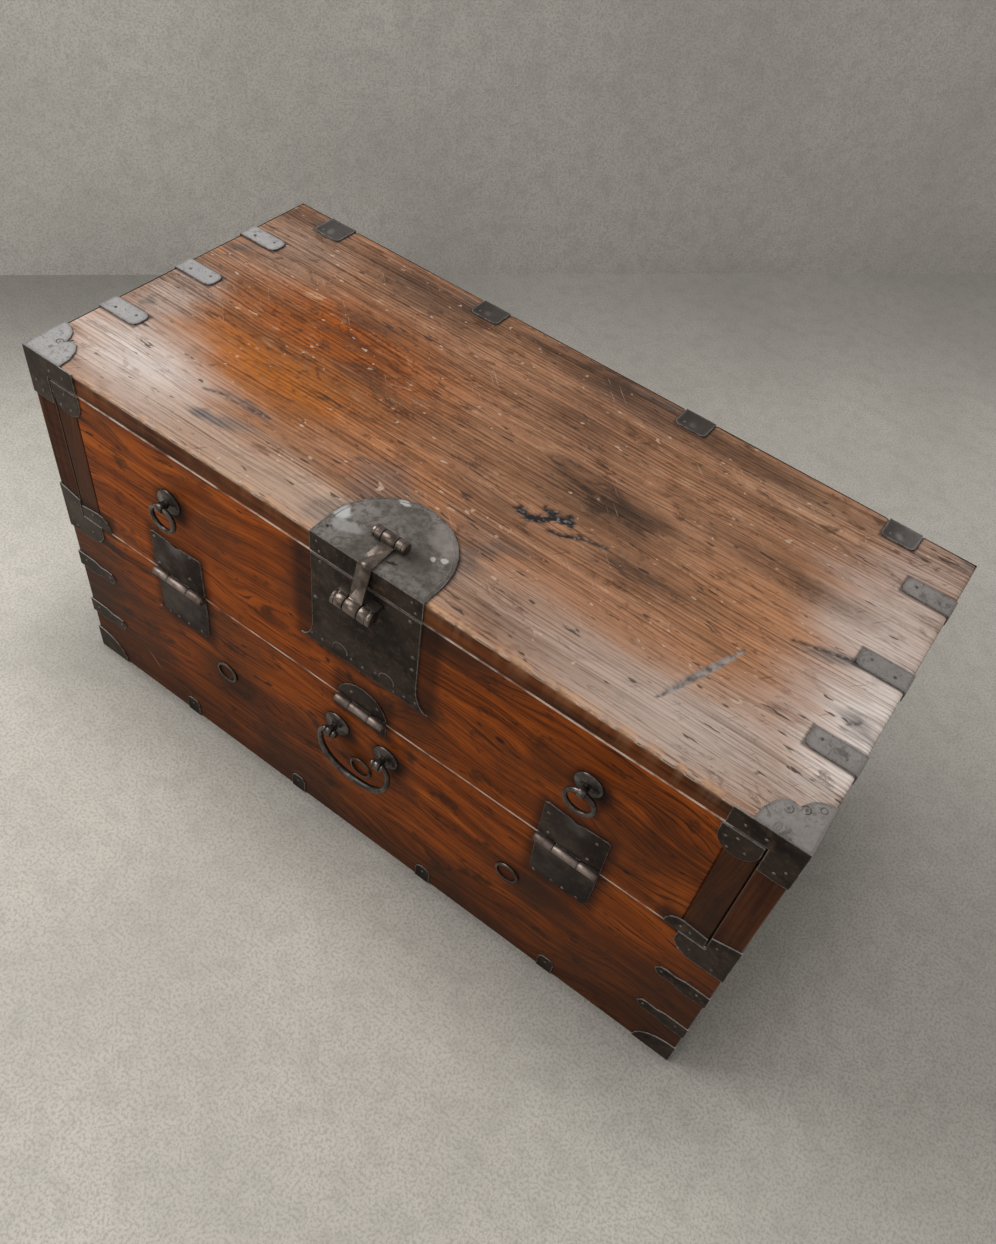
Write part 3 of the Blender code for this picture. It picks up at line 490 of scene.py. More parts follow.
def make_front_wood(name, grain_along, seed, dull=0.0):
    material, shader, where = new_finish(name)
    x, y, z = parts_of(where)
    moved = vector_maths("ADD", where, (seed * 1.37, seed * 0.71, seed * 2.13))
    along, depth, side = parts_of(moved)
    slow = (2.2, 3.5, 6.0)
    if grain_along == "Z":
        along, side = side, along
        slow = slow[::-1]
    bend = streaky(moved, slow, 2.0) * 0.15 + streaky(moved, scaled(slow, 4), 2.0) * 0.012
    across = side + bend
    grain = joined_parts(along, across, depth)

    flame = streaky(grain, (3.4, 60, 5), 5.0, 0.66, 0.15)
    lines = streaky(grain, (5, 210, 8), 3.0, 0.6)
    fibres = streaky(grain, (16, 620, 12), 2.0, 0.55)
    soft = cloud(moved, 7.5, 4.0, 0.6)
    sooty = streaky(moved, (22, 22, 34), 6.0, 0.72)
    wander = streaky(grain, (2.6, 26, 3), 3.0, 0.6)
    sine = ring_wave(across, front_ring_gap, wander, 20.0) * 0.5 + 0.5
    fading = streaky(grain, (6, 50, 3), 3.0, 0.6, shift=(5, 0, 0))
    rings = spread(sine, 0.42, 0.06) * spread(fading, 0.42, 0.66)
    colour = blend(spread(flame, 0.38, 0.58), (0.15, 0.032, 0.004), (0.27, 0.06, 0.007))
    colour = layered(colour, [
        (spread(flame, 0.54, 0.7) * 0.7, (0.4, 0.105, 0.01)),
        (rings * 0.55, (0.06, 0.014, 0.004)),
        (spread(lines, 0.46, 0.34) * 0.72, (0.026, 0.009, 0.004)),
        (spread(fibres, 0.47, 0.34) * 0.8, (0.012, 0.005, 0.003)),
        (spread(soft, 0.54, 0.32) * 0.62, (0.04, 0.013, 0.005)),
        (spread(sooty, 0.47, 0.33) * 0.75, (0.02, 0.009, 0.005)),
    ])

    # Painted sheen in broad light patches, and painted shade toward the ends, under the top board and down to
    # the nearly black bottom edge
    painted_sheen = strongest([
        front_patch(where, place, reach, turn, soft) * strength
        for place, reach, turn, soft, strength in [
            ((-0.3, 0.4), (0.22, 0.14), 0.0, 0.95, 0.22), ((-0.14, 0.4), (0.1, 0.13), 0.0, 0.95, 0.5),
            ((0.2, 0.33), (0.22, 0.07), 0.0, 0.95, 0.35), ((0.36, 0.235), (0.13, 0.02), 0.05, 0.8, 0.9),
            ((0.0, 0.235), (0.35, 0.035), 0.0, 0.95, 0.35),
        ]
    ])
    painted_shade = strongest([
        front_patch(where, place, reach, soft=0.9)
        for place, reach in [
            ((0.46, 0.1), (0.24, 0.2)), ((0.47, 0.35), (0.11, 0.22)), ((-0.45, 0.14), (0.12, 0.2)),
            ((-0.2, 0.14), (0.1, 0.09)), ((0.25, 0.16), (0.1, 0.08)), ((0.1, 0.475), (0.12, 0.06)),
        ]
    ])
    colour = layered(colour, [
        (painted_sheen * 0.6, (0.62, 0.52, 0.46), "SOFT_LIGHT"),
        (painted_sheen * 0.26, (0.27, 0.068, 0.008)),
        (spread(z, 0.145, 0.0) * 0.72, (0.024, 0.013, 0.009)),
        (painted_shade * 0.8, (0.022, 0.012, 0.008)),
    ])
    # Soot and painted shade lie only on the outer side: the front face, and the ends of the boards
    outside = maths(
        "MAXIMUM", spread(y, front_face + 0.009, front_face + 0.003),
        spread(maths("ABSOLUTE", x), half_width - 0.004, half_width - 0.001)
    )
    soot_and_shade = soot_and_shade_round_irons(where) * outside

    # Small dark knocks, one knot right of the lock plate, an old scratch low on the left, and a painted
    # highlight along the rubbed edges where flap and board meet
    knocks = streaky(grain, (42, 150, 20), 2.0, 0.5)
    rubbed_and_sheen = strongest([
        spread(maths("ABSOLUTE", z - flap_top), 0.0017, 0.0009),
        spread(maths("ABSOLUTE", z - fold_height), 0.0017, 0.0011),
    ])
    broken = spread(streaky(where, (34, 50, 20), 3.0), 0.32, 0.6)
    knot = front_patch(where, (0.169, 0.383), (0.008, 0.0055), soft=0.6)
    scratch = front_patch(where, (-0.3524, 0.0586), (0.0275, 0.0009), 0.937, 0.7)
    colour = layered(colour, [
        (soot_and_shade * 0.88, (0.012, 0.009, 0.008)),
        (spread(knocks, 0.675, 0.73) * 0.85, (0.012, 0.008, 0.006)),
        (knot * 0.85, (0.016, 0.008, 0.005)),
        (scratch * (broken * 0.7 + 0.2), (0.46, 0.19, 0.09)),
        (rubbed_and_sheen * (broken * 0.8 + 0.12), (0.52, 0.42, 0.35)),
        (dull, (0.026, 0.013, 0.008)),
    ])
    # The inside was never oiled: dull brown with the same grain
    bare = blend(spread(lines, 0.56, 0.36), (0.125, 0.072, 0.038), (0.074, 0.04, 0.021))
    bare = blend(rings * 0.35, bare, (0.05, 0.026, 0.014))
    colour = blend(outside, bare, colour)
    gloss = spread(soft, 0.3, 0.7, 0.3, 0.44) + soot_and_shade * 0.18
    feed_all(shader, {
        "Base Color": colour, "Roughness": gloss, "IOR": 1.12, "Specular Tint": (1.0, 0.6, 0.4)
    })
    first = raise_surface(shader, lines * 0.6 + fibres * 0.4, 0.0007, 0.5)
    raise_surface(shader, cloud(moved, 40.0, 3.0), 0.001, 0.3, under=first)
    return material


front_wood = make_front_wood("oiled_front_wood", "X", 1.0)
lower_wood = make_front_wood("oiled_lower_wood", "X", 3.0, 0.1)
batten_wood = make_front_wood("oiled_batten_wood", "Z", 2.0, 0.8)
print("front finishes:", front_wood.name, lower_wood.name, batten_wood.name)

# %% [markdown]
# ## Grey sides, back and inside
#
# The ends and the back were never oiled. They are dry, grey-brown and a little dusty, with dark cracks
# along the grain. Only the front edge of each end board, the post beside the flap, shows the red-brown of
# the front, so the same finish blends from one colour to the other across that edge.

# %% Finishes of the sides and the inner boards
dry_ring_gap = 0.0085


def make_dry_wood(name, light, dark, seed, grain_scales, post=False):
    material, shader, where = new_finish(name)
    moved = vector_maths("ADD", where, (seed, seed * 2, seed * 3))
    warp = cloud(moved, 4.0, 2.0)
    grain = vector_maths("ADD", moved, warp * 0.05)
    lines = streaky(grain, grain_scales, 5.0, 0.66)
    fine = streaky(grain, scaled(grain_scales, 4.5), 3.0, 0.6)
    across = parts_of(grain)[grain_scales.index(max(grain_scales))]
    wander = streaky(grain, scaled(grain_scales, 0.25), 3.0, 0.6)
    rings = spread(ring_wave(across, dry_ring_gap, wander, 10.0), 0.1, -0.9)
    stains = cloud(moved, 9.0, 4.0)
    crack = spread(streaky(moved, scaled(grain_scales, 0.8), 1.0, 0.4, shift=(2, 4, 6)), 0.755, 0.785)
    colour = layered(blend(spread(warp, 0.3, 0.7), dark, light), [
        (rings * 0.4, scaled(dark, 0.5)),
        (spread(lines, 0.46, 0.34) * 0.55, scaled(dark, 0.35)),
        (spread(fine, 0.48, 0.34) * 0.6, scaled(dark, 0.4)),
        (spread(fine, 0.58, 0.72) * 0.5, scaled(light, 1.6)),
        (spread(stains, 0.52, 0.8) * 0.5, scaled(dark, 0.4)),
        (crack, (0.012, 0.009, 0.007)),
    ])
    if post:
        y, z = parts_of(where)[1:]
        post_lines = streaky(moved, (150, 30, 6), 3.0, 0.6)
        red = blend(spread(post_lines, 0.3, 0.7), (0.03, 0.01, 0.005), (0.075, 0.024, 0.009))
        red = blend(spread(z, 0.36, 0.29) * 0.5, red, (0.02, 0.012, 0.009))
        colour = blend(spread(y, front_face + 0.012, front_face + 0.0015), colour, red)
    colour = blend(edge_wear(where, 0.003) * 0.5, colour, scaled(light, 2.0))
    feed_all(shader, {"Base Color": colour, "Roughness": spread(lines, 0.3, 0.7, 0.72, 0.52), "IOR": 1.15})
    raise_surface(shader, fine * 0.4 + lines - crack * 2.0, 0.001, 0.6)
    return material


side_wood = make_dry_wood(
    "dry_side_wood", (0.115, 0.082, 0.058), (0.062, 0.044, 0.032), 1.0, (20, 5, 120), post=True
)
back_wood = make_dry_wood("dry_back_wood", (0.125, 0.09, 0.064), (0.07, 0.05, 0.036), 4.0, (5, 20, 120))
inner_wood = make_dry_wood("bare_inner_wood", (0.3, 0.205, 0.125), (0.2, 0.13, 0.078), 7.0, (5, 110, 30))
print("dry finishes:", side_wood.name, back_wood.name, inner_wood.name)

# %% [markdown]
# ## Iron
#
# Two irons are on the chest. Thin sheet, cut and hammered, is nearly black on the front where hands rarely
# rub it and grey where it lies on the top and is wiped every day. The forged rings, pins and hasp are
# smoother and shine on their round backs. Oxide is not a bare metal, so the sheet stays non-metallic but for
# the rubbed knuckles of the hinges, and the forged rings, pins and hasp are mostly metallic.

# %% Finishes of the irons
def make_sheet_iron(name, seed=0.0, knuckles=False, marks=()):
    material, shader, where = new_finish(name)
    moved = vector_maths("ADD", where, (seed, seed, seed))
    x, y = parts_of(where)[:2]
    facing = add_node(where.tree, "ShaderNodeTexCoord", output="Normal")
    blotch = cloud(moved, 26.0, 5.0, 0.6)
    fine = cloud(moved, 150.0, 4.0, 0.6)
    rust = cloud(moved, 48.0, 5.0, 0.65)
    # The left corner is the palest and the right end pale, both a painted sheen of reflected light. The irons
    # on the back edge are little rubbed, but for the last on the right
    left_corner_sheen = spread(x, -0.3, -0.42)
    right_end_sheen = spread(x, 0.33, 0.4)
    hidden = spread(y, back_face - 0.045, back_face - 0.036) * (1.0 - right_end_sheen)
    # Rust has eaten dark, ragged spots into the upper faces
    pitted = cloud(moved, 75.0, 5.0, 0.7, 0.8)
    engraved = cloud(moved, 190.0, 2.0, 0.5, 1.6)
    dark = blend(spread(blotch, 0.35, 0.68), (0.011, 0.0075, 0.0058), (0.03, 0.0205, 0.015))
    dark = layered(dark, [
        (spread(rust, 0.56, 0.72) * 0.5, (0.098, 0.056, 0.034)),
        (spread(fine, 0.52, 0.68) * 0.4, (0.072, 0.048, 0.036)),
        (left_corner_sheen * 0.25, (0.085, 0.066, 0.054)),
    ])
    worn = blend(spread(blotch, 0.32, 0.7), (0.085, 0.074, 0.066), (0.185, 0.168, 0.155))
    worn = layered(worn, [
        (spread(fine, 0.54, 0.38) * 0.65, (0.062, 0.053, 0.047)),
        (left_corner_sheen * 0.6, (0.38, 0.38, 0.388)),
        (right_end_sheen * 0.55, (0.27, 0.255, 0.246)),
        (hidden * 0.75, (0.065, 0.056, 0.05)),
        (spread(pitted, 0.54, 0.66) * 0.6, (0.06, 0.051, 0.046)),
        (spread(engraved, 0.56, 0.66) * 0.3, (0.06, 0.052, 0.047)),
    ])
    ragged_place = vector_maths("ADD", where, (blotch - 0.5) * 0.03)
    for place, reach, tint, strength in marks:
        worn = blend(top_patch(ragged_place, place, reach, soft=0.45) * strength, worn, tint)
    colour = blend(spread(parts_of(facing)[2], 0.6, 0.95), dark, worn)
    if knuckles:
        # The rolled knuckles stand out and are rubbed bright
        proud = spread(y, iron_face + 0.0002, iron_face - 0.0012)
        bright = blend(spread(blotch, 0.35, 0.65), (0.085, 0.062, 0.052), (0.29, 0.235, 0.208))
        colour = blend(proud, colour, bright)
        feed(shader.inputs["Metallic"], proud * 0.8)
    rough_edge = spread(cloud(moved, 120.0, 3.0), 0.34, 0.6)
    colour = layered(colour, [
        (edge_wear(where, 0.005, 0.01, 0.1) * 0.6, (0.02, 0.015, 0.013)),
        (edge_wear(where, 0.0014) * (rough_edge * 0.55 + 0.3), (0.36, 0.33, 0.31)),
    ])
    feed_all(shader, {"Base Color": colour, "Roughness": spread(blotch, 0.3, 0.7, 0.54, 0.36), "IOR": 1.14})
    given = {"Vector": moved, "Scale": 85.0}
    hammered = add_node(where.tree, "ShaderNodeTexVoronoi", given, "Distance", feature="SMOOTH_F1")
    first = raise_surface(shader, hammered, 0.0006, 0.25)
    raise_surface(shader, fine, 0.0005, 0.3, under=first)
    return material


def make_forged_iron(name, seed, dark, bright, roughness, metallic, rubbed_rim=0.6):
    material, shader, where = new_finish(name)
    moved = vector_maths("ADD", where, (seed, seed, seed))
    blotch = cloud(moved, 55.0, 4.0, 0.6)
    fine = cloud(moved, 320.0, 3.0, 0.6)
    colour = layered(blend(spread(blotch, 0.34, 0.66), dark, bright), [
        (spread(fine, 0.58, 0.7) * 0.5, scaled(dark, 0.4)),
        (edge_wear(where, 0.0012) * rubbed_rim, (0.36, 0.32, 0.29)),
    ])
    gloss = spread(blotch, 0.3, 0.7, roughness + 0.08, roughness - 0.06)
    feed_all(shader, {"Base Color": colour, "Metallic": metallic, "Roughness": gloss})
    first = raise_surface(shader, blotch, 0.0004, 0.25)
    raise_surface(shader, fine, 0.0002, 0.25, under=first)
    return material


sheet_iron = make_sheet_iron("hammered_sheet_iron")
corner_iron = make_sheet_iron("worn_corner_iron", 3.0)
plate_iron = make_sheet_iron("worn_top_plate", 9.0, marks=[
    ((-0.059, -0.167), (0.014, 0.012), (0.43, 0.44, 0.445), 0.75),
    ((-0.045, -0.18), (0.018, 0.01), (0.28, 0.275, 0.27), 0.6),
    ((-0.0253, -0.1216), (0.007, 0.005), (0.43, 0.425, 0.415), 0.75),
    ((0.0506, -0.155), (0.0045, 0.0045), (0.42, 0.39, 0.36), 0.8),
    ((0.0394, -0.1623), (0.004, 0.004), (0.42, 0.39, 0.36), 0.8),
    ((0.02, -0.175), (0.03, 0.022), (0.06, 0.05, 0.044), 0.55),
    ((0.04, -0.13), (0.03, 0.025), (0.23, 0.205, 0.185), 0.45),
    ((-0.0572, -0.1912), (0.003, 0.003), (0.02, 0.016, 0.014), 0.9),
    ((0.0174, -0.1874), (0.005, 0.0022), (0.02, 0.016, 0.014), 0.9),
])
forged_iron = make_forged_iron(
    "forged_iron", 1.0, (0.036, 0.03, 0.027), (0.125, 0.106, 0.094), 0.27, 0.85, 0.45
)
lock_iron = make_forged_iron(
    "rubbed_lock_iron", 5.0, (0.048, 0.036, 0.03), (0.15, 0.118, 0.098), 0.28, 0.75, 0.45
)
hinge_iron = make_forged_iron("rubbed_hinge_iron", 8.0, (0.12, 0.095, 0.08), (0.26, 0.21, 0.18), 0.34, 0.8)
hinge_leaf_iron = make_sheet_iron("rubbed_hinge_leaf", 5.0, knuckles=True)
nail_iron = make_forged_iron("nail_iron", 11.0, (0.04, 0.033, 0.028), (0.13, 0.112, 0.098), 0.42, 0.3, 0.12)
print(
    "iron finishes:", sheet_iron.name, corner_iron.name, forged_iron.name, lock_iron.name, hinge_iron.name,
    nail_iron.name
)

# %% [markdown]
# ## Dressing the plain pieces
#
# Each plain piece keeps its shape and gets its finish. The list goes by the start of the piece's name,
# because the pieces of one kind share a finish.

# %% Give every plain piece its finish
def dress(start, finish_material):
    count = 0
    for name, piece in frame["nodes"].items():
        if name.startswith(start):
            piece.data.materials.clear()
            piece.data.materials.append(finish_material)
            count += 1
    return count


dressed = 0
for finish_material, starts in [
    (top_wood, ["top_board"]), (side_wood, ["side_board"]), (back_wood, ["back_board"]),
    (inner_wood, ["bottom_board"]), (lower_wood, ["lower_front_board"]), (front_wood, ["flap_panel"]),
    (batten_wood, ["flap_batten"]), (plate_iron, ["top_lock_plate"]), (hinge_iron, ["hinge_pin"]),
    (sheet_iron, ["lock_plate", "hinge_upper_leaf", "hinge_lower_leaf"]),
    (corner_iron, ["top_corner", "flap_corner", "flap_foot", "mid_corner", "bottom_corner", "front_strap",
                   "side_strap"]),
    (lock_iron, ["top_barrel_post", "lock_post", "lock_bar", "hasp"]),
    (forged_iron, ["bail", "stop_ring", "ring_", "pull_ring"]),
]:
    dressed += sum(dress(start, finish_material) for start in starts)
print("dressed", dressed, "of", len(frame["nodes"]), "pieces")

# %% [markdown]
# ## Working by hand in code
#
# The next helpers do what a modeller does with the mouse: start with nothing selected, add a block between
# two corners, pick the edges or faces that lie somewhere, and set the finished piece down with its place in
# its mesh.

# %% Helpers for modelling
# Points nearer to each other than this lie in one place
sliver = 0.000001


def select_nothing():
    if bpy.context.object and bpy.context.object.mode != "OBJECT":
        bpy.ops.object.mode_set(mode="OBJECT")
    bpy.ops.object.select_all(action="DESELECT")


def take(piece):
    select_nothing()
    piece.select_set(True)
    bpy.context.view_layer.objects.active = piece


def set_down():
    """Put the active piece's place, turn and size into its mesh."""
    bpy.ops.object.transform_apply(location=True, rotation=True, scale=True)


def settle(piece, name, finish_material, angle=40):
    """Name a finished piece, put its place into its mesh, give it its finish and shade it."""
    take(piece)
    set_down()
    piece.name = name
    piece.data.name = name
    piece.data.materials.clear()
    piece.data.materials.append(finish_material)
    bpy.ops.object.shade_smooth_by_angle(angle=math.radians(angle))
    return piece


def carry(piece, body, replaced=None):
    """Say which body a piece moves with and which plain piece it stands for."""
    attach(piece, body)
    if replaced:
        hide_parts(replaced)


def block(low, high):
    select_nothing()
    middle = [(a + b) / 2 for a, b in zip(low, high)]
    bpy.ops.mesh.primitive_cube_add(size=1, location=middle)
    piece = bpy.context.object
    piece.scale = [b - a for a, b in zip(low, high)]
    set_down()
    return piece


def edit_all(piece):
    """Open a piece for editing, with everything on it selected."""
    take(piece)
    bpy.ops.object.mode_set(mode="EDIT")
    bpy.ops.mesh.select_all(action="SELECT")


def leave_edit():
    bpy.ops.object.mode_set(mode="OBJECT")


def pick(piece, kind, wanted):
    """Select the edges or the faces that are wanted, and stay in edit mode."""
    take(piece)
    bpy.ops.object.mode_set(mode="EDIT")
    bpy.ops.mesh.select_mode(type=kind)
    bpy.ops.mesh.select_all(action="DESELECT")
    leave_edit()
    if kind == "FACE":
        for face in piece.data.polygons:
            face.select = wanted(face.center, face.normal)
    else:
        points = piece.data.vertices
        for edge in piece.data.edges:
            edge.select = wanted(*(points[index].co for index in edge.vertices))
    bpy.ops.object.mode_set(mode="EDIT")


def every_edge(*ends):
    return True


def upright(a, b):
    return abs(a.x - b.x) < sliver and abs(a.y - b.y) < sliver


def round_edges(piece, width, segments, wanted=every_edge):
    pick(piece, "EDGE", wanted)
    bpy.ops.mesh.bevel(offset=width, segments=segments, affect="EDGES")
    leave_edit()


def sink_face(piece, wanted, rim, step, depth):
    """Leave a hammered rim round a face: inset it, then inset it again while it sinks."""
    pick(piece, "FACE", wanted)
    bpy.ops.mesh.inset(thickness=rim, depth=0.0)
    bpy.ops.mesh.inset(thickness=step, depth=-depth)
    leave_edit()


def copy_of(piece, name):
    twin = piece.copy()
    twin.data = piece.data.copy()
    twin.name = name
    twin.data.name = name
    bpy.context.collection.objects.link(twin)
    return twin


def join_pieces(pieces, name):
    select_nothing()
    for piece in pieces:
        piece.select_set(True)
    bpy.context.view_layer.objects.active = pieces[0]
    bpy.ops.object.join()
    joined = bpy.context.object
    joined.name = name
    joined.data.name = name
    return joined


print("modelling helpers ready")

# %% [markdown]
# ## The weathered top board
#
# The plain top board is a sharp slab. The real one has lost splinters along its front edge, has a long grey
# scar on the right, a torn knot right of the lock and dents all over. A fine grid is the right start for
# that: its points can be pushed down by a few tenths of a millimetre, as with a sculpting brush. The sides
# are pulled down from the rim of the grid, and the underside is closed with one face.

# %% Grid and sides of the top board
select_nothing()
bpy.ops.mesh.primitive_grid_add(x_subdivisions=330, y_subdivisions=150, size=1, location=(0, 0, top_face))
weathered_board = bpy.context.object
weathered_board.scale = (2 * half_width, back_face - front_face, 1)
set_down()


def on_rim(a, b):
    at_end = all(abs(abs(point.x) - half_width) < 1e-5 for point in (a, b))
    return at_end or all(abs(abs(point.y) - back_face) < 1e-5 for point in (a, b))


pick(weathered_board, "EDGE", on_rim)
steps_down = [0.0006, 0.0018, 0.004]
steps_down.append(top_face - board_underside - sum(steps_down))
for depth in steps_down:
    bpy.ops.mesh.extrude_edges_move(TRANSFORM_OT_translate={"value": (0, 0, -depth)})
bpy.ops.mesh.edge_face_add()
leave_edit()
print("top board grid has", len(weathered_board.data.polygons), "faces")

# %% [markdown]
# Now the brush work. Every rule below pushes points down or inwards, never outwards, so the board stays
# inside its real size. How far a point was pushed is kept in an attribute, and the finish colours those
# hollows: the gouges near black with painted highlights, the scar grey and the chips pale.

# %% Wear, scar, gash and chips
def along_line(point, start, end):
    """How far along a line a point is, from 0 to 1, and how far beside it."""
    line = Vector((end[0] - start[0], end[1] - start[1]))
    offset = Vector((point.x - start[0], point.y - start[1]))
    share = offset.dot(line) / line.length_squared
    beside = abs(offset.x * line.y - offset.y * line.x) / line.length
    return share, beside


def roughness_at(point, x_scale, y_scale, layer):
    return noise.noise(Vector((point.x * x_scale, point.y * y_scale, layer)))


scar_start, scar_end = (0.286, -0.1515), (0.320, -0.0602)
gashes = [
    ((0.0577, -0.0476), (0.0754, -0.0519), 0.0066, 0.002),
    ((0.0754, -0.0519), (0.0902, -0.042), 0.0072, 0.0022),
    ((0.0902, -0.042), (0.0906, -0.0266), 0.005, 0.0016),
    ((0.0785, -0.0302), (0.0895, -0.033), 0.0044, 0.0014), ((0.09, -0.04), (0.1, -0.033), 0.006, 0.0018),
    ((0.0984, -0.0327), (0.1126, -0.0307), 0.0068, 0.002),
    ((0.1126, -0.0307), (0.1035, -0.0223), 0.0048, 0.0014),
    ((0.098, -0.0533), (0.1114, -0.0519), 0.0034, 0.0012),
    ((0.1114, -0.0519), (0.1283, -0.0419), 0.0036, 0.0014),
    ((0.1283, -0.0419), (0.1556, -0.035), 0.0038, 0.0009),
    ((-0.2827, -0.1299), (-0.2605, -0.1226), 0.003, 0.0008),
    ((-0.2526, -0.1248), (-0.2056, -0.1193), 0.0026, 0.0008),
    ((0.3554, -0.0127), (0.4184, 0.0048), 0.003, 0.0009), ((0.432, -0.068), (0.441, -0.06), 0.004, 0.0007),
    ((-0.307, -0.101), (-0.303, -0.096), 0.003, 0.0006)
]
chips = random.Random(7)
chip_list = []
place = -half_width
while place < half_width:
    place += chips.uniform(0.008, 0.036)
    deepest = 0.0046 if place > 0 else 0.0028
    chip_list.append((place, chips.uniform(0.004, 0.015), chips.uniform(0.0008, deepest)))

board_mesh = weathered_board.data
relief, scar, chipped = (
    board_mesh.attributes.new(name, "FLOAT", "POINT").data for name in ("relief", "scar", "chipped")
)
edge_round = 0.0022
chip_height, chip_reach = 0.0075, 0.006
scar_half_width, scar_depth = 0.004, 0.0013
wave_depth, dent_depth = 0.00035, 0.0006
for vert in board_mesh.vertices:
    point = vert.co
    on_top = point.z > top_face - 1e-5
    hollow = 0.0
    gouge = 0.0
    if on_top:
        share, beside = along_line(point, scar_start, scar_end)
        if -0.05 < share < 1.05:
            width = scar_half_width * (0.45 + math.sin(math.pi * max(0.0, min(1.0, share))))
            hollow = scar_depth * max(0.0, 1 - beside / width)
        for start, end, width, depth in gashes:
            share, beside = along_line(point, start, end)
            if -0.1 < share < 1.1:
                ragged = width * (1.0 + 0.8 * noise.noise(point * 300))
                gouge = max(gouge, depth * max(0.0, 1 - beside / max(ragged, 1e-4)))
        wave = wave_depth * (roughness_at(point, 7, 14, 1) - 0.7)
        dents = dent_depth * max(0.0, roughness_at(point, 60, 90, 4) - 0.42)
        point.z += min(0.0, wave) - dents - hollow - gouge
    relief[vert.index].value = min(1.0, gouge * 1100)
    scar[vert.index].value = min(1.0, hollow * 1300)
    # Soft arris all round, more worn at the front
    inward_front = point.y - front_face
    for inward in (half_width - abs(point.x), inward_front, back_face - point.y):
        if on_top and inward < edge_round:
            point.z -= edge_round * (1 - inward / edge_round) ** 2 * 0.55
    torn = 0.0
    if point.z > top_face - chip_height and inward_front < chip_reach:
        for middle, width, depth in chip_list:
            nearness = 1 - abs(point.x - middle) / width
            if nearness > 0:
                rough = 0.7 + 0.6 * noise.noise(Vector((point.x * 500, point.z * 700, 2)))
                torn = max(torn, depth * min(1.0, nearness * 2.2) * rough)
        fade = max(0.0, 1 - (top_face - point.z) / chip_height)
        if inward_front < 1e-4:
            point.y += torn * fade + 0.0004
        if on_top:
            point.z -= torn * 0.55 * max(0.0, 1 - inward_front / chip_reach)
        chipped[vert.index].value = min(1.0, torn * 260) * fade
print("pushed", len(board_mesh.vertices), "points;", len(chip_list), "chips along the front edge")

# %% [markdown]
# The four irons on the back edge are let into the wood, so the board gets four shallow steps there before
# it is finished.

# %% Let the back irons in, and finish the board
iron_recess = 0.0015
for vert in board_mesh.vertices:
    if vert.co.y > back_face - 1e-4 and vert.co.z > top_face - 0.014:
        if any(abs(vert.co.x - middle) < back_iron_half + 0.002 for middle, length in back_irons):
            vert.co.y = back_face - iron_recess
settle(weathered_board, "weathered_top_board", top_wood, 50)
carry(weathered_board, "case", "top_board")
print("top board finished:", len(weathered_board.data.polygons), "faces")

# %% [markdown]
# ## Straps on the back edge
#
# Four short irons clasp the back edge of the top. Each is a strip with rounded front corners and a hammered
# rim that is bent down over the edge. The strip is a block whose front upright edges are bevelled round and
# whose upper face is inset and sunk a little, so a rim stays. A second block is the leg behind the edge,
# and the two are joined.

# %% Four back irons
iron_lift = top_face + 0.0002
iron_sheet = 0.0013


def make_back_iron(middle, length, name):
    """A strip with a rounded front and a sunk face, joined to a leg behind the edge."""
    low = (middle - back_iron_half, back_face - length, iron_lift)
    high = (middle + back_iron_half, back_face - 0.0003, iron_lift + iron_sheet)
    piece = block(low, high)
    round_edges(piece, 0.006, 5, lambda a, b: upright(a, b) and a.y < back_face - 0.01)
    sink_face(piece, lambda centre, normal: normal.z > 0.9, rim=0.0016, step=0.0008, depth=0.00055)
    leg = block(
        (low[0], back_face - iron_sheet, top_face - 0.012),
        (high[0], back_face - 0.0003, iron_lift + iron_sheet * 0.5),
    )
    lowest = top_face - 0.011
    outer = back_face - 0.0006
    round_edges(leg, 0.0004, 2, lambda a, b: max(a.z, b.z) < lowest or min(a.y, b.y) > outer)
    carry(settle(join_pieces([piece, leg], name), name, corner_iron), "case")


for index, (middle, length) in enumerate(back_irons):
    make_back_iron(middle, length, "back_iron_" + str(index + 1))
print("made", len(back_irons), "back irons")

# %% [markdown]
# ## Clips along the bottom
#
# Four small irons with rounded heads hold the bottom board to the front. A block with its two upper corners
# bevelled round gives the head, and its front is sunk a little so a rim stays.

# %% Four bottom clips
def make_clip(middle, name):
    half = 0.0105
    face = front_face - 0.0002
    piece = block((middle - half, face - 0.0012, 0.0006), (middle + half, face, 0.03))
    round_edges(piece, 0.0085, 6, lambda a, b: min(a.z, b.z) > 0.029 and abs(a.x - b.x) < sliver)
    sink_face(piece, lambda centre, normal: normal.y < -0.9, rim=0.0012, step=0.0005, depth=0.0004)
    carry(settle(piece, name, corner_iron), "case")


clip_places = (-0.286, -0.101, 0.101, 0.286)
for index, middle in enumerate(clip_places):
    make_clip(middle, "bottom_clip_" + str(index + 1))
print("made", len(clip_places), "bottom clips")

# %% [markdown]
# ## Nails and rivets
#
# Hand-made nail heads hold every iron. A head is a low dome: a small sphere cut in half with bisect and
# pressed flat. One head is made, and each nail is a copy that is turned to its face, scaled a little
# differently and set down. All nails on one moving part are then joined, because they move together.

# %% One nail head
select_nothing()
bpy.ops.mesh.primitive_uv_sphere_add(segments=12, ring_count=8, radius=1, location=(0, 0, 0))
nail_head = bpy.context.object
edit_all(nail_head)
bpy.ops.mesh.bisect(plane_co=(0, 0, -0.05), plane_no=(0, 0, 1), clear_inner=True, use_fill=True)
leave_edit()
nail_head.scale = (1, 1, 0.42)
set_down()
bpy.ops.object.shade_smooth_by_angle(angle=math.radians(50))
print("nail head:", len(nail_head.data.polygons), "faces")

# %% Set the nails
nail_luck = random.Random(11)
front_turn = Matrix.Rotation(math.radians(90), 4, "X")
flat_turn = Matrix.Identity(4)
side_turn = Matrix.Rotation(math.radians(90), 4, "Y")


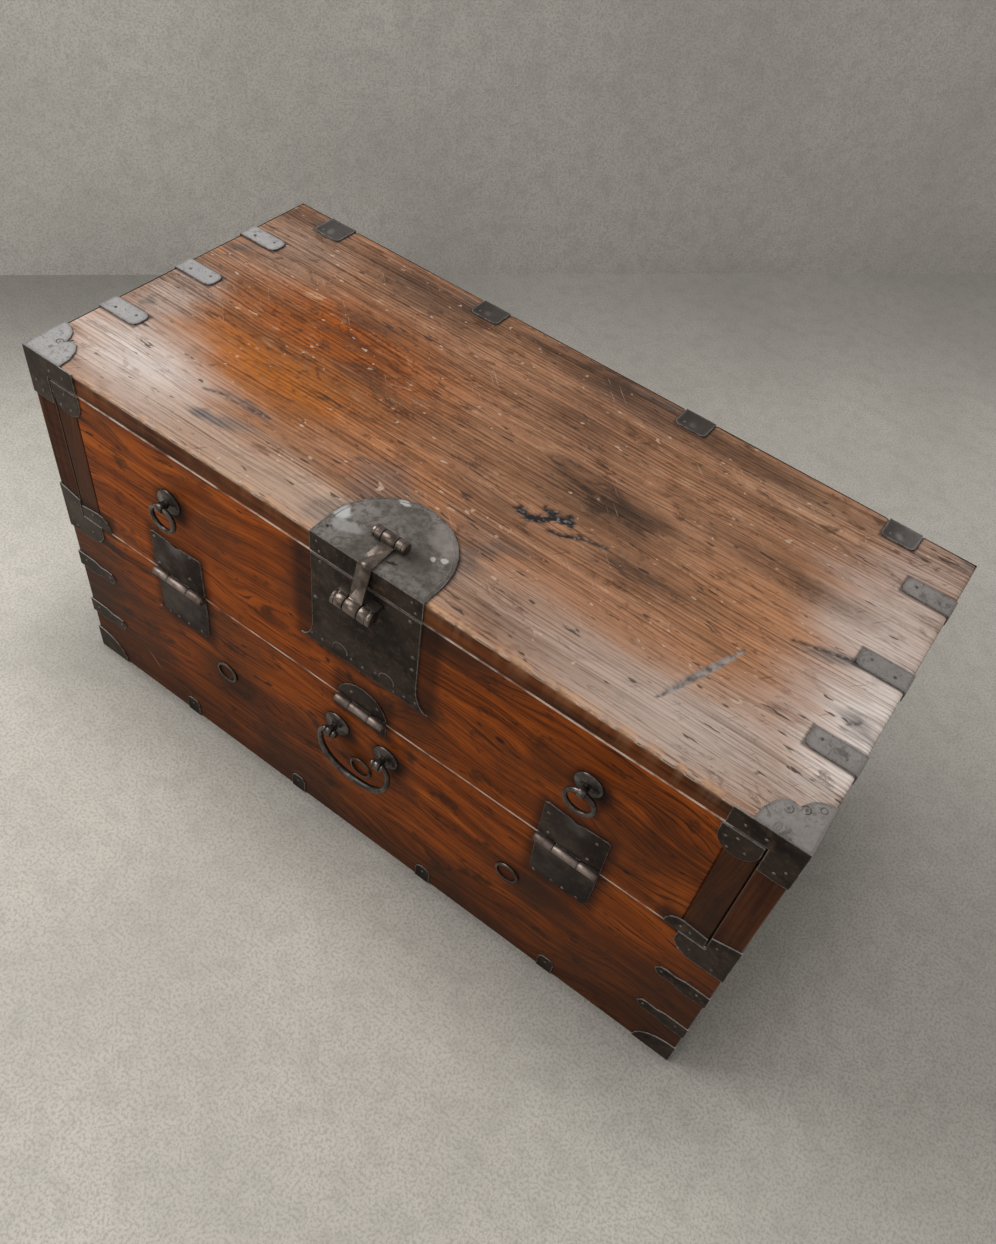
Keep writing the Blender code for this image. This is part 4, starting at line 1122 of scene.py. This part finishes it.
def set_nail(place, turn, radius):
    nail = copy_of(nail_head, "nail")
    squash = nail_luck.uniform(0.85, 1.12)
    size = Matrix.Diagonal((radius * squash, radius / squash, radius * nail_luck.uniform(0.8, 1.1), 1))
    nail.data.transform(
        Matrix.Translation(place) @ turn @ Matrix.Rotation(nail_luck.uniform(0, 3), 4, "Z") @ size
    )
    return nail


def nails_on_front(spots, face, radius):
    return [set_nail((x, face, z), front_turn, radius) for x, z in spots]


def nails_on_top(spots, face, radius):
    return [set_nail((x, y, face), flat_turn, radius) for x, y in spots]


flap_iron_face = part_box("flap_corner_left")[0][1]
case_iron_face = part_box("mid_corner_left")[0][1]

flap_nails = []
for face, radius, spots in [
    (iron_face, 0.0024, [
        (-0.0548, 0.4728), (0.055, 0.472), (-0.062, 0.4163), (0.061, 0.4222), (0.0612, 0.403)]),
    (iron_face, 0.0017, [
        (-0.0681, 0.3539), (-0.0539, 0.3537), (-0.0151, 0.3532), (-0.0002, 0.3526), (0.0165, 0.3579),
        (0.0409, 0.3468), (0.0542, 0.3507), (0.0684, 0.3528), (-0.033, 0.427)]),
    (iron_face, 0.0021, [
        (-0.3018, 0.3324), (-0.2469, 0.3361), (-0.3002, 0.2892), (-0.2519, 0.2969), (0.2379, 0.3231),
        (0.2432, 0.2894), (0.2943, 0.3258), (0.2904, 0.2898), (-0.0146, 0.296), (0.021, 0.296)]),
    (flap_iron_face, 0.0016, [
        (-0.409, 0.47), (-0.403, 0.452), (-0.418, 0.452), (0.405, 0.47), (0.395, 0.464), (0.416, 0.456),
        (0.4, 0.45), (0.4, 0.286), (0.411, 0.285), (-0.399, 0.287), (-0.41, 0.29)]),
]:
    flap_nails += nails_on_front(spots, face, radius)
case_nails = nails_on_front([
    (-0.3127, 0.2032), (-0.2965, 0.205), (-0.2822, 0.206), (-0.2661, 0.2059), (-0.245, 0.208),
    (0.2392, 0.2045), (0.2618, 0.2065), (0.2757, 0.2065), (0.2933, 0.207), (0.0027, 0.26),
], iron_face, 0.0019)
print("placed", len(flap_nails), "nails on the flap and", len(case_nails), "on the case so far")

# %% More nails on the case's irons
corner_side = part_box("mid_corner_right")[1][0] - 0.0012
for side, outward in ((-1, side_turn.inverted()), (1, side_turn)):
    case_nails += nails_on_front([(side * x, z) for x, z in [
        (0.418, 0.256), (0.44, 0.29), (0.446, 0.248), (0.408, 0.246), (0.406, 0.181), (0.448, 0.183),
        (0.406, 0.089), (0.448, 0.09), (0.444, 0.456), (0.452, 0.466), (0.405, 0.493), (0.425, 0.492),
    ]], case_iron_face, 0.0016)
    case_nails += [
        set_nail((side * corner_side, y, z), outward, 0.002)
        for y, z in ((-0.196, 0.29), (-0.186, 0.262), (-0.188, 0.181), (-0.188, 0.089))
    ]
case_nails += nails_on_front([(middle, 0.02) for middle in clip_places], front_face - 0.0013, 0.0016)
case_nails += nails_on_top(
    [(middle - 0.01, back_face - length + 0.009) for middle, length in back_irons],
    iron_lift + iron_sheet - 0.0006, 0.0019,
)
strap_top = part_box("side_strap_front_left")[1][2]
for name in ("front", "middle", "rear"):
    for side_name, side in (("left", -1), ("right", 1)):
        low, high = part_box("side_strap_" + name + "_" + side_name)
        y = (low[1] + high[1]) / 2
        spots = [(side * (half_width - 0.04), y + 0.002), (side * (half_width - 0.014), y - 0.003)]
        case_nails += nails_on_top(spots, strap_top, 0.0019)
top_plate_face = 0.5078
case_nails += nails_on_top([(0.0535, -0.1915), (0.0092, -0.115), (-0.0572, -0.1912)], top_plate_face, 0.0014)
case_nails += nails_on_front(
    [(0.055, 0.5), (-0.059, 0.499), (-0.056, 0.487), (0.06, 0.488)], iron_face, 0.0016
)

for name, nails, body in (("case_nails", case_nails, "case"), ("flap_nails", flap_nails, "flap")):
    carry(settle(join_pieces(nails, name), name, nail_iron, 50), body)
print("nails on the case:", len(case_nails), "and on the flap:", len(flap_nails))

# %% [markdown]
# ## Round forged pieces
#
# A plain piece arrives as loose triangles, so a ring looks like a string of flat facets. Its surface
# becomes round when the triangles share their corners and are shaded smooth. The plain mesh itself stays
# untouched: a copy is merged, smoothed and shown in its place.

# %% Smooth copies of the round irons
body_of = {node: body for body, nodes in frame["record"]["behaviour"]["bodies"].items() for node in nodes}


def refined(node_name, finish_material, angle=38):
    name = "worked_" + node_name
    piece = copy_of(frame["nodes"][node_name], name)
    edit_all(piece)
    bpy.ops.mesh.remove_doubles(threshold=0.00002)
    leave_edit()
    if node_name.startswith("pull_ring"):
        # The rings are a little stouter than their plain ones
        edit_all(piece)
        bpy.ops.transform.shrink_fatten(value=0.0005)
        leave_edit()
    carry(settle(piece, name, finish_material, angle), body_of[node_name], node_name)


sides = ("left", "right")
three_places = ("left", "centre", "right")
round_irons = ["hasp", "bail_handle"]
round_irons += ["bail_" + kind + side for kind in ("post_", "rosette_") for side in sides]
round_irons += ["stop_ring_" + side for side in three_places]
round_irons += [kind + side for kind in ("ring_rosette_", "ring_post_", "pull_ring_") for side in sides]
for node_name in round_irons:
    refined(node_name, lock_iron if node_name == "hasp" else forged_iron)
hinge_leaves = ["hinge_" + kind + side for kind in ("upper_leaf_", "lower_leaf_") for side in three_places]
for node_name in hinge_leaves:
    refined(node_name, hinge_leaf_iron, 30)
print("smoothed", len(round_irons) + len(hinge_leaves), "pieces")

# %% [markdown]
# ## Turned barrels of the lock
#
# The lock is a hinge of banded barrels: two fixed on the flap with the hasp's eye between them, and two on
# the top plate with the hasp's upper eye between them. Each barrel is a turned shape, so half its outline
# is drawn point by point and spun round the axis. The spin leaves a seam, which merging by distance closes.

# %% Helpers for turned shapes
def trace(points):
    """Draw an open line through points, extruding one point after the other."""
    select_nothing()
    bpy.ops.mesh.primitive_plane_add(size=0.001, location=points[0])
    bpy.ops.object.mode_set(mode="EDIT")
    bpy.ops.mesh.select_mode(type="VERT")
    bpy.ops.mesh.select_all(action="SELECT")
    bpy.ops.mesh.merge(type="CENTER")
    for before, after in zip(points, points[1:]):
        bpy.ops.mesh.extrude_vertices_move(TRANSFORM_OT_translate={"value": Vector(after) - Vector(before)})


def make_barrel(low_x, high_x, centre_y, centre_z, radius, outline):
    """Turn a barrel between two places along X; the outline gives shares of its length and radius."""
    trace([
        (low_x + share * (high_x - low_x), centre_y, centre_z + size * radius) for share, size in outline
    ])
    bpy.ops.mesh.select_all(action="SELECT")
    bpy.ops.mesh.spin(steps=36, angle=2 * math.pi, center=(low_x, centre_y, centre_z), axis=(1, 0, 0))
    bpy.ops.mesh.select_all(action="SELECT")
    bpy.ops.mesh.remove_doubles(threshold=0.00001)
    bpy.ops.mesh.normals_make_consistent(inside=False)
    leave_edit()
    return bpy.context.object


banded = [
    (0.0, 0.0), (0.0, 0.7), (0.02, 0.86), (0.06, 0.95), (0.11, 1.0), (0.28, 1.0), (0.305, 0.97),
    (0.32, 0.89), (0.36, 0.89), (0.375, 0.97), (0.4, 1.0), (0.9, 1.0), (0.96, 0.97), (0.99, 0.9),
    (1.0, 0.8), (1.0, 0.0)
]
mirrored_band = [(1 - share, size) for share, size in reversed(banded)]
print("barrel outline has", len(banded), "points")

# %% Barrels on the flap and on the top
bar_low, bar_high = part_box("lock_bar")
bar_y = (bar_low[1] + bar_high[1]) / 2
bar_z = (bar_low[2] + bar_high[2]) / 2


def barrel_on_leg(node_name, name, body, centre_y, centre_z, radius, leg, width, segments, wanted=every_edge):
    """Turn a barrel as long as its plain post, and add the leg that holds it."""
    low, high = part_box(node_name)
    outline = banded if node_name.endswith("left") else mirrored_band
    barrel = make_barrel(low[0], high[0], centre_y, centre_z, radius, outline)
    leg_block = block(*leg)
    round_edges(leg_block, width, segments, wanted)
    joined = settle(join_pieces([barrel, leg_block], name), name, lock_iron, 35)
    carry(joined, body, node_name)


for side_name in sides:
    node_name = "lock_post_" + side_name
    low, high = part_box(node_name)
    tail = (low[0] + 0.0012, bar_y, high[2] - 0.0072), (high[0] - 0.0012, high[1], high[2] - 0.0006)
    radius = bar_y - low[1]
    barrel_on_leg(node_name, "lock_barrel_" + side_name, "flap", bar_y, bar_z, radius, tail, 0.0005, 2)
foot_half = 0.0034
for side_name in sides:
    node_name = "top_barrel_post_" + side_name
    low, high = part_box(node_name)
    x, y = (low[0] + high[0]) / 2, (low[1] + high[1]) / 2
    radius = (high[1] - low[1]) / 2
    z = high[2] - radius
    foot = (x - foot_half, y - foot_half, low[2]), (x + foot_half, y + foot_half, z)
    barrel_on_leg(node_name, "top_barrel_" + side_name, "case", y, z, radius, foot, 0.0012, 3, upright)
print("barrels turned round y", round(bar_y, 4), "z", round(bar_z, 4))

# %% [markdown]
# ## Raised lines on the plates
#
# The smith decorated the plates with simple punched and raised lines: two half moons on the lock plate, a
# line that follows the round top plate, and paired scrolls on the corner irons. Each is a thin wire: a
# curve drawn through points, given a round section and turned into a mesh, half sunk into its plate.

# %% Wires that follow a line
def make_wire(points, radius, name, finish_material):
    curve = bpy.data.curves.new(name, "CURVE")
    curve.dimensions = "3D"
    curve.bevel_depth = radius
    curve.bevel_resolution = 1
    curve.use_fill_caps = True
    spline = curve.splines.new("POLY")
    spline.points.add(len(points) - 1)
    for point, place in zip(spline.points, points):
        point.co = (*place, 1)
    wire = bpy.data.objects.new(name, curve)
    bpy.context.collection.objects.link(wire)
    take(wire)
    bpy.ops.object.convert(target="MESH")
    return settle(bpy.context.object, name, finish_material)


def scroll_points(centre, start_radius, end_radius, start, end, steps, to_place):
    """Points along an arc, whose radius may change on the way."""
    result = []
    for step in range(steps + 1):
        share = step / steps
        radius = start_radius + (end_radius - start_radius) * share
        turn = math.radians(start + (end - start) * share)
        result.append(to_place(centre[0] + radius * math.cos(turn), centre[1] + radius * math.sin(turn)))
    return result


def arc_points(centre, radius, start, end, steps, to_place):
    return scroll_points(centre, radius, radius, start, end, steps, to_place)


def on_lock_face(x, z):
    return (x, iron_face + 0.0001, z)


plate_lines = join_pieces([
    make_wire(arc_points(centre, 0.0095, -15, 190, 18, on_lock_face), 0.0008, "moon", nail_iron)
    for centre in ((-0.03, 0.357), (0.031, 0.358))
], "lock_plate_moons")
carry(plate_lines, "flap")

corner_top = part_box("top_corner_left")[1][2]


def on_corner(x, y):
    return (x, y, corner_top - 0.0001)


# Each hook starts at the notch and curls round a pale disc
hooks = [
    ((0.4265, -0.1815), 0.0046, 75, -130), ((0.4394, -0.1735), 0.0046, 170, -80),
    ((-0.4384, -0.1803), 0.0042, 20, 310)
]
scrolls = []
for centre, radius, start, end in hooks:
    points = scroll_points(centre, radius, radius * 0.75, start, end, 16, on_corner)
    scrolls.append(make_wire(points, 0.0006, "scroll", nail_iron))
ring_points = arc_points((0.4516, -0.1642), 0.003, 0, 360, 14, on_corner)
slot_points = [on_corner(-0.4345, -0.176), on_corner(-0.43, -0.1695)]
scrolls.append(make_wire(ring_points, 0.0005, "scroll", nail_iron))
scrolls.append(make_wire(slot_points, 0.0007, "slot", nail_iron))
to_corner = Matrix.Translation((0, 0, corner_top))
press_flat = to_corner @ Matrix.Diagonal((1, 1, 0.35, 1)) @ to_corner.inverted()
for centre, radius, start, end in hooks:
    disc = set_nail(on_corner(*centre), flat_turn, radius * 0.55)
    disc.data.transform(press_flat)
    disc.data.materials.append(corner_iron)
    scrolls.append(disc)
corner_lines = join_pieces(scrolls, "corner_scrolls")
carry(corner_lines, "case")
bpy.data.objects.remove(nail_head)


def on_top_plate(x, y):
    return (x, y, top_plate_face - 0.00015)


plate_radius = top_plate_high[0] - 0.0045
round_centre = (0.0, top_plate_high[1] - top_plate_high[0])
rim_points = [on_top_plate(plate_radius, front_face + 0.002)]
rim_points += arc_points(round_centre, plate_radius, 0, 180, 48, on_top_plate)
rim_points += [on_top_plate(-plate_radius, front_face + 0.002)]
rim_line = make_wire(rim_points, 0.00045, "top_plate_line", sheet_iron)
carry(rim_line, "case")
print("raised lines:", plate_lines.name, corner_lines.name, rim_line.name)

# %% [markdown]
# ## Floor and backdrop
#
# A pale floor and a wall behind keep the eye on the chest. Both are staging and not part of it. A soft
# mottle and fine specks keep them from looking like paper.

# %% Floor, wall and their finish
wall_start = Vector((-1.251, 0.24, 0))
wall_end = Vector((0.197, 1.812, 0))
wall_along = (wall_end - wall_start).normalized()
wall_away = Vector((wall_along.y, -wall_along.x, 0))


def make_studio_finish(name, colour, wall_falloff):
    material, shader, where = new_finish(name)
    mottle = cloud(where, 2.6, 6.0, 0.62)
    grit = cloud(where, 34.0, 5.0, 0.68)
    speckle = cloud(where, 300.0, 3.0, 0.7)
    # Painted shade: floor and wall grow darker to the right, and the floor also toward the wall
    from_corner = vector_maths("SUBTRACT", where, wall_start)
    beside = vector_maths("DOT_PRODUCT", from_corner, wall_along)
    from_wall = vector_maths("DOT_PRODUCT", from_corner, wall_away)
    painted_falloff = spread(from_wall, 0.75, -0.05, 0.0, wall_falloff) * spread(beside, 0.1, 1.3, 1.0, 0.6)
    # Painted soft contact shadow where the chest stands
    low, high = (-half_width, front_face, 0), (half_width, back_face, 0)
    contact_shadow = [halo(where, low, high, reach, (1, 1, 0)) * depth for reach, depth in ((0.17, 0.34), (0.03, 0.5))]
    ground = blend(spread(mottle, 0.3, 0.7), scaled(colour, 0.9), scaled(colour, 1.06))
    tone = layered(ground, [
        (spread(grit, 0.56, 0.36) * 0.34, scaled(colour, 0.7)),
        (spread(speckle, 0.46, 0.6) * 0.62, scaled(colour, 0.6)),
        (painted_falloff + spread(beside, 0.2, 1.3, 0.0, 0.12), (0.02, 0.018, 0.015)),
        (strongest(contact_shadow), (0.045, 0.04, 0.034)),
    ])
    feed_all(shader, {"Base Color": tone, "Roughness": 0.85, "Specular IOR Level": 0.2})
    raise_surface(shader, grit * 0.6 + speckle, 0.0012, 0.3)
    return material, shader


floor_finish = make_studio_finish("studio_floor", (0.52, 0.496, 0.45), 0.76)[0]
wall_finish, wall_shader = make_studio_finish("studio_wall", (0.585, 0.56, 0.522), 0.0)
# From behind, the wall is clear, so it never hides the chest's back
wall_tree = wall_shader.id_data
clear = add_node(wall_tree, "ShaderNodeBsdfTransparent")
from_behind = add_node(wall_tree, "ShaderNodeNewGeometry", output="Backfacing")
mixed = add_node(wall_tree, "ShaderNodeMixShader", [from_behind, Value(wall_shader.outputs[0]), clear])
feed(wall_tree.nodes["Material Output"].inputs["Surface"], mixed)
select_nothing()
bpy.ops.mesh.primitive_grid_add(x_subdivisions=8, y_subdivisions=8, size=14, location=(0, 0, 0))
floor = settle(bpy.context.object, "studio_floor", floor_finish)
wall_turn = math.atan2(wall_along.y, wall_along.x)
select_nothing()
bpy.ops.mesh.primitive_grid_add(
    x_subdivisions=8, y_subdivisions=4, size=1, location=(wall_start + wall_end) / 2 + Vector((0, 0, 2)),
    rotation=(math.radians(90), 0, wall_turn)
)
bpy.context.object.scale = (14, 4, 1)
wall = settle(bpy.context.object, "studio_wall", wall_finish)
wall.visible_shadow = False
wall.visible_diffuse = False
wall.visible_glossy = False
print("wall stands", round(wall_start.cross(wall_along).length, 2), "m behind the middle")

# %% [markdown]
# ## Light and camera
#
# One large soft lamp stands high to the left and behind, a weak one fills from the front, and the grey
# world around gives the rest. The camera was found by matching the chest's six visible corners, so it looks
# down from the right front, a little tilted.

# %% Light
world = bpy.data.worlds.new("studio_world")
bpy.context.scene.world = world
world.use_nodes = True
world.node_tree.nodes["Background"].inputs["Color"].default_value = (1.0, 0.985, 0.96, 1)
world.node_tree.nodes["Background"].inputs["Strength"].default_value = 0.62


def add_lamp(name, place, target, size, power, colour):
    light = bpy.data.lights.new(name, "AREA")
    light.shape = "SQUARE"
    light.size = size
    light.energy = power
    light.color = colour
    lamp = bpy.data.objects.new(name, light)
    bpy.context.collection.objects.link(lamp)
    lamp.location = place
    lamp.rotation_euler = (Vector(target) - Vector(place)).to_track_quat("-Z", "Y").to_euler()
    return lamp


add_lamp("window_light", (-1.75, -0.55, 2.2), (0, 0, 0.3), 1.6, 54, (1.0, 0.985, 0.96))
add_lamp("fill_light", (-0.9, -2.4, 1.6), (0, 0, 0.3), 1.5, 12, (1.0, 0.97, 0.93))

# %% Camera
camera_data = bpy.data.cameras.new("photo_camera")
camera = bpy.data.objects.new("photo_camera", camera_data)
bpy.context.collection.objects.link(camera)
camera.location = (0.4212, -0.7165, 1.24915)
camera.rotation_euler = [math.radians(value) for value in (40.65429, -8.34127, 34.40602)]
camera_data.sensor_width = 36
camera_data.lens = 31.02
camera_data.shift_x = -0.0409
camera_data.shift_y = -0.0216
camera_data.clip_start = 0.05
bpy.context.scene.camera = camera
bpy.context.scene.view_settings.view_transform = "Standard"
print("camera looks from", tuple(round(value, 3) for value in camera.location))
